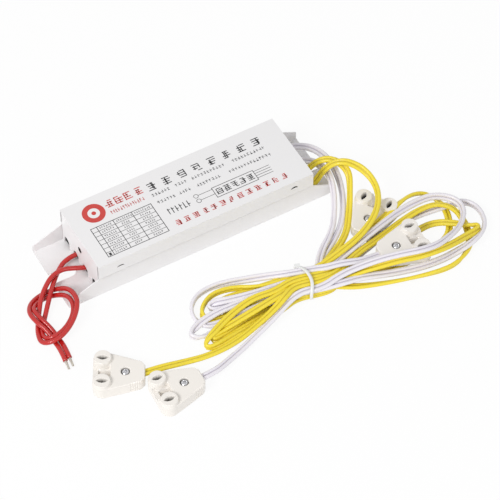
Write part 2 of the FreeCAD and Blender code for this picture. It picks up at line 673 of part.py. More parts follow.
# Each flat lead is a plain tube of the same section area: first from the tray to the hank,
# then from the hank to its holder
LEAD_ROUTES = {
    "white_lead_1": [(54.0, 13.8, 3.4), (61.5, 13.4, 4.0), (69.8, 4.0, 9.6), (74.0, -7.6, 8.4),
                     (73.2, -19.0, 3.4), (66.8, -32.0, 1.3), (58.0, -42.3, 1.3), (43.5, -50.7, 1.6)],
    "white_lead_2": [(54.0, 4.6, 3.4), (60.5, 4.4, 3.8), (67.2, -3.0, 7.6), (69.2, -12.6, 9.4),
                     (67.4, -21.6, 6.6), (62.4, -31.0, 1.6), (55.5, -40.3, 1.3), (42.5, -48.3, 1.6)],
    "yellow_lead_1": [(54.0, -4.6, 3.4), (61.2, -4.8, 4.2), (66.6, -7.2, 12.4), (72.6, -10.9, 14.6),
                      (77.0, -19.0, 12.2), (73.0, -27.2, 7.0), (67.6, -35.4, 2.8), (60.5, -45.0, 1.4),
                      (47.5, -53.0, 1.8)],
    "yellow_lead_2": [(54.0, -13.8, 3.4), (61.2, -13.5, 4.4), (66.8, -12.6, 11.6), (73.6, -15.6, 17.6),
                      (80.2, -21.5, 16.2), (83.4, -30.0, 13.4), (81.4, -39.4, 11.6), (74.0, -47.8, 10.8),
                      (62.5, -53.7, 8.0), (49.5, -58.6, 6.2)],
}
TAIL_ROUTES = {
    "yellow_tail_1": [(13.0, -66.6, 1.3), (-1.0, -69.8, 1.3), (-14.0, -74.0, 1.3), (-28.0, -74.2, 1.4),
                      (-41.0, -71.6, 2.2), (-50.5, -70.2, 3.6)],
    "white_tail_1": [(16.0, -70.6, 1.3), (1.0, -74.2, 1.3), (-11.0, -78.8, 1.3), (-21.0, -82.8, 2.0),
                     (-30.0, -84.4, 3.6)],
    "yellow_tail_2": [(49.0, -60.0, 3.2), (58.4, -54.8, 3.7)],
    "white_tail_2": [(49.0, -65.3, 6.2), (57.0, -65.8, 7.2)],
}
TAIL_HOLDERS = {"yellow_tail_1": 0, "white_tail_1": 1, "yellow_tail_2": 2, "white_tail_2": 3}


def make_hank():
    """The tied hank: two flat fans of loops and the higher bundle between them, pinched by a band."""
    fans = [(6.0, -46.0), (-3.0, -38.5), (-15.0, -38.5), (-23.5, -43.5), (-25.0, -53.5), (-32.0, -56.5),
            (-31.5, -64.0), (-28.0, -71.5), (-18.0, -71.5), (-9.0, -66.5), (4.5, -65.5), (6.5, -74.5),
            (20.0, -72.5), (28.0, -69.8), (44.0, -75.5), (60.0, -80.5), (84.0, -86.0), (98.0, -87.0),
            (111.0, -81.5), (121.5, -72.5), (124.5, -63.5), (122.5, -55.5), (112.0, -45.5), (104.0, -39.5),
            (97.0, -39.0), (92.4, -43.5), (89.0, -49.5), (67.0, -57.5), (52.0, -62.5), (28.0, -54.0)]
    bundle = [(5.0, -50.0), (30.3, -53.9), (42.5, -43.8), (51.5, -54.4), (53.5, -69.5), (44.0, -73.5),
              (28.2, -69.6), (5.0, -70.5)]
    low = Part.Face(Part.makePolygon([V(x, y, 0) for x, y in fans + fans[:1]]))
    high = Part.Face(Part.makePolygon([V(x, y, 0) for x, y in bundle + bundle[:1]]))
    shape = low.extrude(UP * S["hank_low"]).fuse(high.extrude(UP * S["hank_high"])).removeSplitter()
    return feature("hank_whole", shape)


BAND_MIDDLE = V(29.3, -61.8, 0)
BAND_TURN = -16.0


def make_band():
    """The white tie: a closed strip round the bundle, standing on the table."""
    half, top, thick = S["band_across"] / 2, S["band_top"], S["band_gauge"]
    ring = Part.makeBox(S["band_width"], 2 * half, top, V(-S["band_width"] / 2, -half, 0))
    ring = ring.makeFillet(2.4, [e for e in ring.Edges if abs(e.tangentAt(e.FirstParameter).x) > 0.99])
    room = Part.makeBox(S["band_width"], 2 * (half - thick), top - 2 * thick,
                        V(-S["band_width"] / 2, thick - half, thick))
    room = room.makeFillet(1.6, [e for e in room.Edges if abs(e.tangentAt(e.FirstParameter).x) > 0.99])
    place = FreeCAD.Placement(BAND_MIDDLE, FreeCAD.Rotation(UP, BAND_TURN))
    parts["tie_band"] = feature("tie_band", ring.cut(room), place)
    slice_box = Part.makeBox(S["band_width"], 60, 30, V(-S["band_width"] / 2, -30, -5))
    outside = slice_box.cut(room)
    outside.Placement = place
    return feature("band_waist", outside)


def make_wires():
    """All wires, the hank, the tie and the bare ends of the mains wires."""
    whole = make_hank()
    waist = make_band()
    hank = joined("Part::Cut", "hank", whole, waist)
    parts["hank"] = hank
    for index, points in enumerate(RED_ROUTES, 1):
        name = "red_wire_%d" % index
        parts[name] = tube(name, points, S["red_wire"])
        heading = V(*points[-1]) - V(*points[-2])
        parts["red_wire_tip_%d" % index] = solid(
            "Part::Cylinder", "red_wire_tip_%d" % index,
            {"Radius": S["red_tip"] / 2, "Height": "red_tip_length"},
            points[-1], FreeCAD.Rotation(UP, heading))
    for name, points in LEAD_ROUTES.items():
        parts[name] = joined("Part::Cut", name, tube(name + "_whole", points, S["lead"]), hank)
    for name, points in TAIL_ROUTES.items():
        spot, angle = HOLDERS[TAIL_HOLDERS[name]]
        out = V(math.cos(math.radians(angle)), math.sin(math.radians(angle)), 0)
        end = spot + out * (S["holder_back"] - LEAD_BITE) + UP * LEAD_ENTRY
        whole = tube(name + "_whole", points + [tuple(end)], S["lead"])
        outside = joined("Part::Cut", name + "_outside", whole, hank)
        holder = parts["lamp_holder_%d_body" % (TAIL_HOLDERS[name] + 1)]
        parts[name] = joined("Part::Cut", name, outside, holder)


make_tray()
make_cover()
make_liner()
make_circuit()
for count, (where, way) in enumerate(HOLDERS, 1):
    make_holder(count, where, way)
make_wires()
doc.recompute()

for item in doc.Objects:
    if any(state in item.State for state in ("Invalid", "Error")):
        raise ValueError(item.Label + " failed: " + str(item.State))
os.makedirs("parts", exist_ok=True)
for name, item in parts.items():
    shape = item.Shape
    if shape.isNull() or not shape.isValid() or not shape.Solids:
        raise ValueError(name + " has no valid shape")
    shape.exportStep("parts/%s.step" % name)
print("%d sub-parts" % len(parts))
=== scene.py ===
"""Looks of the lamp ballast: wires and cords, finishes, lid print and lamp holders, on a white floor."""
import json
import math

import bpy
import numpy as np
from mathutils import Matrix, Vector


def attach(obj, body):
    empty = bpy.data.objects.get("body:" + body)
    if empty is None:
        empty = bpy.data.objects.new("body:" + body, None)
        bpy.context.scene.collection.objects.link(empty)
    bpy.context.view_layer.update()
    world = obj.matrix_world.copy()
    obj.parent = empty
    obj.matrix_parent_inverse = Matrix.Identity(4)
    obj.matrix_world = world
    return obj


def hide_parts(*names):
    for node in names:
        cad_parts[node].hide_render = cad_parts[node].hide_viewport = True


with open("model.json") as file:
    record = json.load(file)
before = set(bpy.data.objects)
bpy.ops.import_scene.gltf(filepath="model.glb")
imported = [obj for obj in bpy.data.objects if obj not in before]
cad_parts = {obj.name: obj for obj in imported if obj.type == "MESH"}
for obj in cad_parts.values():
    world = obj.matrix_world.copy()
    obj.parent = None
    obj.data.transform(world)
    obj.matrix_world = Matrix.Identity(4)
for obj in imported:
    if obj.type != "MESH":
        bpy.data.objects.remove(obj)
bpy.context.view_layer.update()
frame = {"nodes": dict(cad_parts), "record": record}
MM = 0.001


# Camera, light and floor: places in metres, turns in degrees

CAMERA_SPOT = (-0.37035, -0.71983, 1.02351)
CAMERA_AZIMUTH, CAMERA_ELEVATION = 29.365, 52.266
SENSOR_WIDTH = 36
FOCAL_PIXELS, PHOTO_PIXELS = 2800.9, 500
LAMP_SIZE = 0.5
LAMP_AIM = (0.02, -0.03, 0)
WORLD_LIGHT, WORLD_SEEN = 0.6, 1.0
FLOOR_HALF = 3.0
FLOOR_WHITE = 0.94
FLOOR_GLOW = 0.92


def set_camera():
    """The photograph's long lens, above and to the left of the near side."""
    azimuth, elevation = math.radians(CAMERA_AZIMUTH), math.radians(CAMERA_ELEVATION)
    forward = Vector((math.sin(azimuth) * math.cos(elevation), math.cos(azimuth) * math.cos(elevation),
                      -math.sin(elevation)))
    right = Vector((math.cos(azimuth), -math.sin(azimuth), 0))
    up = right.cross(forward)
    lens = bpy.data.cameras.new("lens")
    lens.sensor_width = SENSOR_WIDTH
    lens.lens = SENSOR_WIDTH * FOCAL_PIXELS / PHOTO_PIXELS
    lens.clip_start, lens.clip_end = 0.05, 20
    eye = bpy.data.objects.new("eye", lens)
    eye.matrix_world = Matrix.Translation(CAMERA_SPOT) @ Matrix((right, up, -forward)).transposed().to_4x4()
    bpy.context.scene.collection.objects.link(eye)
    bpy.context.scene.camera = eye


def add_lamp(name, at, power):
    """A square soft lamp that faces the object."""
    lamp = bpy.data.lights.new(name, "AREA")
    lamp.shape = "SQUARE"
    lamp.size = LAMP_SIZE
    lamp.energy = power
    holder = bpy.data.objects.new(name, lamp)
    holder.location = at
    holder.rotation_euler = (Vector(LAMP_AIM) - Vector(at)).to_track_quat("-Z", "Y").to_euler()
    bpy.context.scene.collection.objects.link(holder)


def background_rays(nodes, links):
    """1 for rays from the camera and for those that metal or glass sends on, else 0."""
    rays = nodes.new("ShaderNodeLightPath")
    total = rays.outputs["Is Camera Ray"]
    for kind in ("Is Glossy Ray", "Is Transmission Ray"):
        either = nodes.new("ShaderNodeMath")
        either.operation = "MAXIMUM"
        links.new(total, either.inputs[0])
        links.new(rays.outputs[kind], either.inputs[1])
        total = either.outputs[0]
    return total


def set_light():
    """A white world that lights gently and is seen as white, and two lamps."""
    bpy.context.scene.view_settings.view_transform = "Standard"
    world = bpy.data.worlds.new("studio")
    bpy.context.scene.world = world
    world.use_nodes = True
    nodes, links = world.node_tree.nodes, world.node_tree.links
    back = nodes["Background"]
    back.inputs["Color"].default_value = (1, 1, 1, 1)
    level = nodes.new("ShaderNodeMapRange")
    level.inputs["To Min"].default_value = WORLD_LIGHT
    level.inputs["To Max"].default_value = WORLD_SEEN
    links.new(background_rays(nodes, links), level.inputs["Value"])
    links.new(level.outputs["Result"], back.inputs["Strength"])
    add_lamp("key", (-0.95, -0.35, 0.95), 9.0)
    add_lamp("front", (0.15, -1.1, 0.6), 1.6)


def add_floor():
    """A white sheet under everything; the camera sees it nearly white, with the object's soft shadow."""
    corners = [(a * FLOOR_HALF, b * FLOOR_HALF, 0) for a, b in ((-1, -1), (1, -1), (1, 1), (-1, 1))]
    mesh = bpy.data.meshes.new("floor")
    mesh.from_pydata(corners, [], [(0, 1, 2, 3)])
    floor = bpy.data.objects.new("floor", mesh)
    bpy.context.scene.collection.objects.link(floor)
    white = bpy.data.materials.new("white_sheet")
    white.use_nodes = True
    nodes, links = white.node_tree.nodes, white.node_tree.links
    nodes.clear()
    paper = nodes.new("ShaderNodeBsdfDiffuse")
    paper.inputs["Color"].default_value = (FLOOR_WHITE, FLOOR_WHITE, FLOOR_WHITE, 1)
    glow = nodes.new("ShaderNodeEmission")
    glow.inputs["Color"].default_value = (1, 1, 1, 1)
    share = nodes.new("ShaderNodeMath")
    share.operation = "MULTIPLY"
    share.inputs[1].default_value = FLOOR_GLOW
    mixed = nodes.new("ShaderNodeMixShader")
    out = nodes.new("ShaderNodeOutputMaterial")
    links.new(background_rays(nodes, links), share.inputs[0])
    links.new(share.outputs[0], mixed.inputs[0])
    links.new(paper.outputs[0], mixed.inputs[1])
    links.new(glow.outputs[0], mixed.inputs[2])
    links.new(mixed.outputs[0], out.inputs[0])
    mesh.materials.append(white)


# Finishes

ROUGHNESS_DRIFT = 0.05
GRAIN_SCALE = 2500.0
GRAIN_HEIGHT = 0.0002


def finish(name, colour, roughness, metallic=0.0, tone=0.06, tone_scale=60.0, grain=0.0, coat=0.0):
    """A plastic, paint or metal: its colour and roughness drift a little, by a noise of tone_scale, and a
    fine grain lifts the surface."""
    made = bpy.data.materials.new(name)
    made.use_nodes = True
    nodes, links = made.node_tree.nodes, made.node_tree.links
    shader = nodes["Principled BSDF"]
    place = nodes.new("ShaderNodeTexCoord")
    cloud = nodes.new("ShaderNodeTexNoise")
    cloud.inputs["Scale"].default_value = tone_scale
    cloud.inputs["Detail"].default_value = 3
    links.new(place.outputs["Object"], cloud.inputs["Vector"])
    mix = nodes.new("ShaderNodeMix")
    mix.data_type = "RGBA"
    mix.inputs[6].default_value = (*[c * (1 - tone) for c in colour], 1)
    mix.inputs[7].default_value = (*[min(1, c * (1 + tone * 0.6)) for c in colour], 1)
    links.new(cloud.outputs["Fac"], mix.inputs[0])
    links.new(mix.outputs[2], shader.inputs["Base Color"])
    spread = nodes.new("ShaderNodeMapRange")
    spread.inputs["To Min"].default_value = max(0.03, roughness - ROUGHNESS_DRIFT)
    spread.inputs["To Max"].default_value = roughness + ROUGHNESS_DRIFT
    links.new(cloud.outputs["Fac"], spread.inputs["Value"])
    links.new(spread.outputs["Result"], shader.inputs["Roughness"])
    shader.inputs["Metallic"].default_value = metallic
    shader.inputs["Coat Weight"].default_value = coat
    if grain:
        speck = nodes.new("ShaderNodeTexNoise")
        speck.inputs["Scale"].default_value = GRAIN_SCALE
        links.new(place.outputs["Object"], speck.inputs["Vector"])
        bump = nodes.new("ShaderNodeBump")
        bump.inputs["Strength"].default_value = grain
        bump.inputs["Distance"].default_value = GRAIN_HEIGHT
        links.new(speck.outputs["Fac"], bump.inputs["Height"])
        links.new(bump.outputs["Normal"], shader.inputs["Normal"])
    return made


FINISHES = {
    "housing_steel": finish("coated_sheet_steel", (0.87, 0.86, 0.865), 0.4, tone=0.02, tone_scale=25,
                            grain=0.1),
    "insulating_film": finish("insulating_card", (0.72, 0.66, 0.50), 0.6, grain=0.2),
    "paper_board": finish("paper_board", (0.50, 0.33, 0.16), 0.6, grain=0.2),
    "ferrite": finish("grey_ferrite", (0.07, 0.07, 0.075), 0.55, grain=0.3),
    "coil_tape": finish("yellow_coil_tape", (0.80, 0.58, 0.10), 0.3),
    "copper_wire": finish("lacquered_copper", (0.55, 0.20, 0.07), 0.3, metallic=0.9),
    "component_glass": finish("sealed_glass", (0.75, 0.70, 0.62), 0.1),
    "black_epoxy": finish("black_epoxy", (0.02, 0.02, 0.022), 0.45, grain=0.2),
    "capacitor_sleeve": finish("capacitor_sleeve", (0.02, 0.025, 0.05), 0.25),
    "film_capacitor_case": finish("dipped_film_case", (0.35, 0.06, 0.03), 0.3),
    "resistor_lacquer": finish("resistor_lacquer", (0.60, 0.42, 0.22), 0.35),
    "holder_plastic": finish("holder_plastic", (0.88, 0.84, 0.79), 0.34, tone=0.02, grain=0.05, coat=0.2),
    # Darkened far below bright bronze as painted shade: the contacts lie deep in the slots.
    "contact_bronze": finish("contact_bronze", (0.12, 0.065, 0.02), 0.38, metallic=0.8),
    "screw_zinc": finish("bright_zinc", (0.62, 0.62, 0.64), 0.22, metallic=1.0, grain=0.1),
    "yellow_insulation": finish("yellow_insulation", (0.88, 0.71, 0.045), 0.32, tone=0.04, tone_scale=120),
    "white_insulation": finish("white_insulation", (0.84, 0.81, 0.86), 0.32, tone=0.03, tone_scale=120),
    "red_insulation": finish("red_insulation", (0.52, 0.012, 0.01), 0.24, tone=0.05, tone_scale=120,
                             coat=0.3),
    "tinned_strand": finish("tinned_strand", (0.62, 0.58, 0.52), 0.3, metallic=1.0),
    "tie_plastic": finish("tie_plastic", (0.86, 0.87, 0.86), 0.4, tone=0.03),
}
BLACK_INK = finish("black_ink", (0.03, 0.03, 0.032), 0.5, tone=0.2, tone_scale=400)
GREY_INK = finish("grey_ink", (0.07, 0.07, 0.075), 0.5, tone=0.2, tone_scale=400)
RED_INK = finish("red_ink", (0.62, 0.06, 0.05), 0.5, tone=0.15, tone_scale=400)
# Near black with no highlight: painted shade for openings that no light reaches inside.
SHADE_BLACK = finish("painted_shade_black", (0.004, 0.004, 0.004), 0.8)
SHADE_BLACK.node_tree.nodes["Principled BSDF"].inputs["Specular IOR Level"].default_value = 0.0


def paint_shade_in_hollows(plastic, shade_colour):
    """Painted shade: the colour goes towards a dark shade colour where the surface's attribute says that it
    lies in a slot or groove.
    """
    nodes, links = plastic.node_tree.nodes, plastic.node_tree.links
    shader = nodes["Principled BSDF"]
    plain = shader.inputs["Base Color"].links[0].from_socket
    painted_shade = nodes.new("ShaderNodeAttribute")
    painted_shade.attribute_name = "painted_shade"
    mix = nodes.new("ShaderNodeMix")
    mix.data_type = "RGBA"
    mix.inputs[7].default_value = (*shade_colour, 1)
    links.new(painted_shade.outputs["Fac"], mix.inputs[0])
    links.new(plain, mix.inputs[6])
    links.new(mix.outputs[2], shader.inputs["Base Color"])


# Painted shade: near black in the holders' slots and round their screws, darker tones in the groove between
# each cord's lobes.
paint_shade_in_hollows(FINISHES["holder_plastic"], (0.008, 0.005, 0.002))
paint_shade_in_hollows(FINISHES["yellow_insulation"], (0.60, 0.43, 0.02))
paint_shade_in_hollows(FINISHES["white_insulation"], (0.50, 0.45, 0.55))

for part in frame["record"]["subparts"]:
    thing = frame["nodes"][part["node"]]
    thing.data.materials.clear()
    thing.data.materials.append(FINISHES[part["material_slot"]])


# Surfaces

def piece(name, spots, faces, slot, smooth=True, look=None):
    """A mesh object in the scene, with its slot's finish or one of its own."""
    mesh = bpy.data.meshes.new(name)
    mesh.from_pydata(spots, [], faces)
    mesh.validate()
    mesh.polygons.foreach_set("use_smooth", np.broadcast_to(smooth, len(mesh.polygons)))
    mesh.materials.append(look or FINISHES[slot])
    made = bpy.data.objects.new(name, mesh)
    bpy.context.scene.collection.objects.link(made)
    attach(made, "root")
    return made


def block(name, middle, along_it, across_it, up_it, slot, look=None):
    """A box from its middle and three half lengths as vectors, all in millimetres."""
    corners = [middle + along_it * a + across_it * b + up_it * c
               for a in (-1, 1) for b, c in ((-1, -1), (1, -1), (1, 1), (-1, 1))]
    faces = [(0, 3, 2, 1), (4, 5, 6, 7), (0, 1, 5, 4), (1, 2, 6, 5), (2, 3, 7, 6), (3, 0, 4, 7)]
    return piece(name, np.array(corners) * MM, faces, slot, False, look)


def soft_step(value, low, high):
    """0 below low, 1 above high, and a smooth cubic between."""
    share = np.clip((value - low) / (high - low), 0, 1)
    return share * share * (3 - 2 * share)


def mark_painted_shade(made, shading):
    """Say for each point how much painted shade darkens it, from 0 to 1, for lying in a slot or groove."""
    shade = made.data.attributes.new("painted_shade", "FLOAT", "POINT")
    shade.data.foreach_set("value", shading)


def tube_faces(rings, around):
    """Quads between neighbouring rings of points, and one flat face at each end."""
    k, j = np.meshgrid(np.arange(rings - 1), np.arange(around), indexing="ij")
    step = (j + 1) % around
    near, far = k * around, (k + 1) * around
    quads = np.stack([near + j, near + step, far + step, far + j], -1)
    ends = [list(range(around))[::-1], list(range((rings - 1) * around, rings * around))]
    return quads.reshape(-1, 4).tolist() + ends


def along(points, spacing):
    """Points read from the NURBS spline that the route's control points pull, evenly spaced, for each one
    how many control points lie before it, and the length."""
    curve = bpy.data.curves.new("route", "CURVE")
    curve.dimensions = "3D"
    curve.resolution_u = 16
    line = curve.splines.new("NURBS")
    line.points.add(len(points) - 1)
    line.points.foreach_set("co", np.c_[points, np.ones(len(points))].ravel())
    line.order_u = 3
    line.use_endpoint_u = True
    carrier = bpy.data.objects.new("route", curve)
    bpy.context.scene.collection.objects.link(carrier)
    bpy.context.view_layer.update()
    mesh = bpy.data.meshes.new_from_object(carrier)
    spots = np.empty(len(mesh.vertices) * 3)
    mesh.vertices.foreach_get("co", spots)
    spots = spots.reshape(-1, 3)
    bpy.data.objects.remove(carrier)
    bpy.data.curves.remove(curve)
    bpy.data.meshes.remove(mesh)
    walked = np.r_[0, np.cumsum(np.linalg.norm(np.diff(spots, axis=0), axis=1))]
    wanted = np.linspace(0, walked[-1], max(8, int(walked[-1] / spacing)))
    # Control point k belongs to parameter k - 0.5 of this spline, and the two end points to its ends
    last = len(points) - 2
    share = np.interp(wanted, walked, np.linspace(0, last, len(spots)))
    passed = np.interp(share, np.r_[0, np.arange(0.5, last), last], np.arange(len(points)))
    return np.stack([np.interp(wanted, walked, spots[:, i]) for i in range(3)], 1), passed, walked[-1]


def frames(spots, lean):
    """The heading at each point, a level direction across it, and the direction square to both, the last two
    turned about the heading by lean."""
    heading = np.gradient(spots, axis=0)
    heading /= np.linalg.norm(heading, axis=1)[:, None]
    level = np.cross([0, 0, 1.0], heading)
    level /= np.linalg.norm(level, axis=1)[:, None]
    square = np.cross(heading, level)
    c, s = np.cos(lean)[:, None], np.sin(lean)[:, None]
    return heading, level * c + square * s, square * c - level * s


RED_DIAMETER = 0.0023
RED_SPACING, TWIN_SPACING = 0.8 * MM, 1.2 * MM
TWIN_WIDTH, TWIN_HEIGHT = 3.6 * MM, 1.8 * MM
LOBE_OPENING = 128
WAIST_SHARE = 0.3
WAIST_REACH = 0.4 * MM


def round_wire(name, spots, radius, slot):
    """A circle carried along the spots."""
    around = 16
    _, across, up = frames(spots, np.zeros(len(spots)))
    turn = np.linspace(0, 2 * np.pi, around, endpoint=False)
    ring = spots[:, None] + radius * (np.cos(turn)[None, :, None] * across[:, None]
                                      + np.sin(turn)[None, :, None] * up[:, None])
    return piece(name, ring.reshape(-1, 3), tube_faces(len(spots), around), slot)


def twin_section():
    """Two round lobes side by side with a narrow waist between them."""
    radius = TWIN_HEIGHT / 2
    middle = TWIN_WIDTH / 2 - radius
    turn = np.radians(np.linspace(-LOBE_OPENING, LOBE_OPENING, 11))
    right = np.stack([middle + radius * np.cos(turn), radius * np.sin(turn)], 1)
    waist = radius * WAIST_SHARE
    return np.concatenate([right, [[0, waist]], -right, [[0, -waist]]])


def twin_cord(name, spots, lean, slot):
    """The twin section carried along the spots; lean turns it from flat to on edge. The waist between the
    lobes is marked for painted shade, which darkens the groove there."""
    _, across, up = frames(spots, lean)
    section = twin_section()
    ring = spots[:, None] + section[None, :, :1] * across[:, None] + section[None, :, 1:] * up[:, None]
    cord = piece(name, ring.reshape(-1, 3), tube_faces(len(spots), len(section)), slot)
    # Painted shade along the groove at the waist.
    waist = soft_step(WAIST_REACH - np.abs(section[:, 0]), 0, WAIST_REACH)
    mark_painted_shade(cord, np.tile(waist, len(spots)))
    return cord


# Mains wires: the model's control points, with the knot drawn a little tighter, as the real pair lies

RED_ROUTES = [
    [(-53.5, 4.6, 4.2), (-60.0, 4.4, 4.4), (-66.2, 0.4, 3.4), (-72.4, -6.8, 4.8), (-77.8, -13.4, 4.2),
     (-83.2, -19.6, 1.3), (-87.1, -24.7, 1.2), (-88.0, -29.6, 1.9), (-84.9, -32.4, 4.2), (-78.2, -31.0, 4.5),
     (-72.0, -26.8, 5.6), (-68.8, -21.0, 6.2), (-68.9, -15.0, 5.0), (-72.2, -10.2, 2.0), (-77.0, -8.6, 1.2),
     (-81.9, -9.6, 1.3), (-85.9, -13.6, 3.8), (-85.3, -19.8, 4.4), (-83.2, -25.8, 2.8), (-82.3, -31.4, 1.2),
     (-81.9, -37.6, 1.2), (-82.8, -44.0, 1.2)],
    [(-53.5, -4.6, 4.2), (-59.0, -3.0, 5.4), (-64.6, -1.6, 6.6), (-70.6, -2.8, 6.7), (-76.0, -6.2, 5.0),
     (-80.6, -10.8, 3.9), (-83.8, -15.5, 1.9), (-86.8, -20.2, 1.2), (-89.3, -25.2, 1.2), (-90.4, -31.0, 1.6),
     (-85.8, -34.6, 4.2), (-78.9, -33.1, 4.9), (-72.2, -29.0, 6.9), (-67.9, -23.8, 8.8), (-66.6, -18.6, 8.4),
     (-67.3, -12.8, 6.8), (-70.2, -8.4, 3.4), (-74.8, -6.3, 1.6), (-80.2, -6.6, 1.2), (-85.2, -9.2, 1.9),
     (-88.3, -14.5, 3.8), (-87.7, -21.0, 4.4), (-85.4, -26.9, 3.3), (-84.7, -32.2, 1.2), (-84.3, -38.2, 1.2),
     (-85.2, -44.6, 1.2)],
]


def add_red_wires():
    """Both mains wires, each with its stripped tip."""
    for number, route in enumerate(RED_ROUTES, 1):
        points = np.array(route) * MM
        spots, _, length = along(points, RED_SPACING)
        wire = round_wire("mains_wire_%d" % number, spots, RED_DIAMETER / 2, "red_insulation")
        tip = add_wire_tip(number, spots[-1], spots[-1] - spots[-3])
        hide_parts("red_wire_%d" % number)


# Flat twin cords: each runs from the case through the tie, round its loops and to its lamp holder.
# Each point is x, y, z in millimetres, then how far the cord leans from flat to on edge, in degrees.
# Each lamp holder has x, y, z of the middle of its pins, then how far it is turned, in degrees

HOLDER_SPOTS = ((-74.8, -60.8, 0.0, -29.5), (-56.1, -83.3, 0.0, -3.0), (80.8, -38.0, 0.0, 217.0),
                (84.4, -67.0, 3.6, 177.0))
ENTRY_ALONG, ENTRY_RISE = 17, 3.9
TIE = np.array([29.3, -61.8, 0])
TIE_ALONG = np.array([0.961, -0.276, 0])
TIE_ACROSS = np.array([0.276, 0.961, 0])
TIE_UP = np.array([0, 0, 1.0])
TIE_REACH = 6


def tied(across, height, leftwards):
    """Two points either side of the tie, for a strand that passes it at this place."""
    middle = TIE + TIE_ACROSS * across + [0, 0, height]
    ends = [middle + TIE_ALONG * TIE_REACH, middle - TIE_ALONG * TIE_REACH]
    if not leftwards:
        ends.reverse()
    return [(*end, 0) for end in ends]


def entry(number):
    """Where a lamp holder takes its cord."""
    x, y, z, angle = HOLDER_SPOTS[number - 1]
    way = math.radians(angle)
    return [(x + ENTRY_ALONG * math.cos(way), y + ENTRY_ALONG * math.sin(way), z + ENTRY_RISE, 0)]


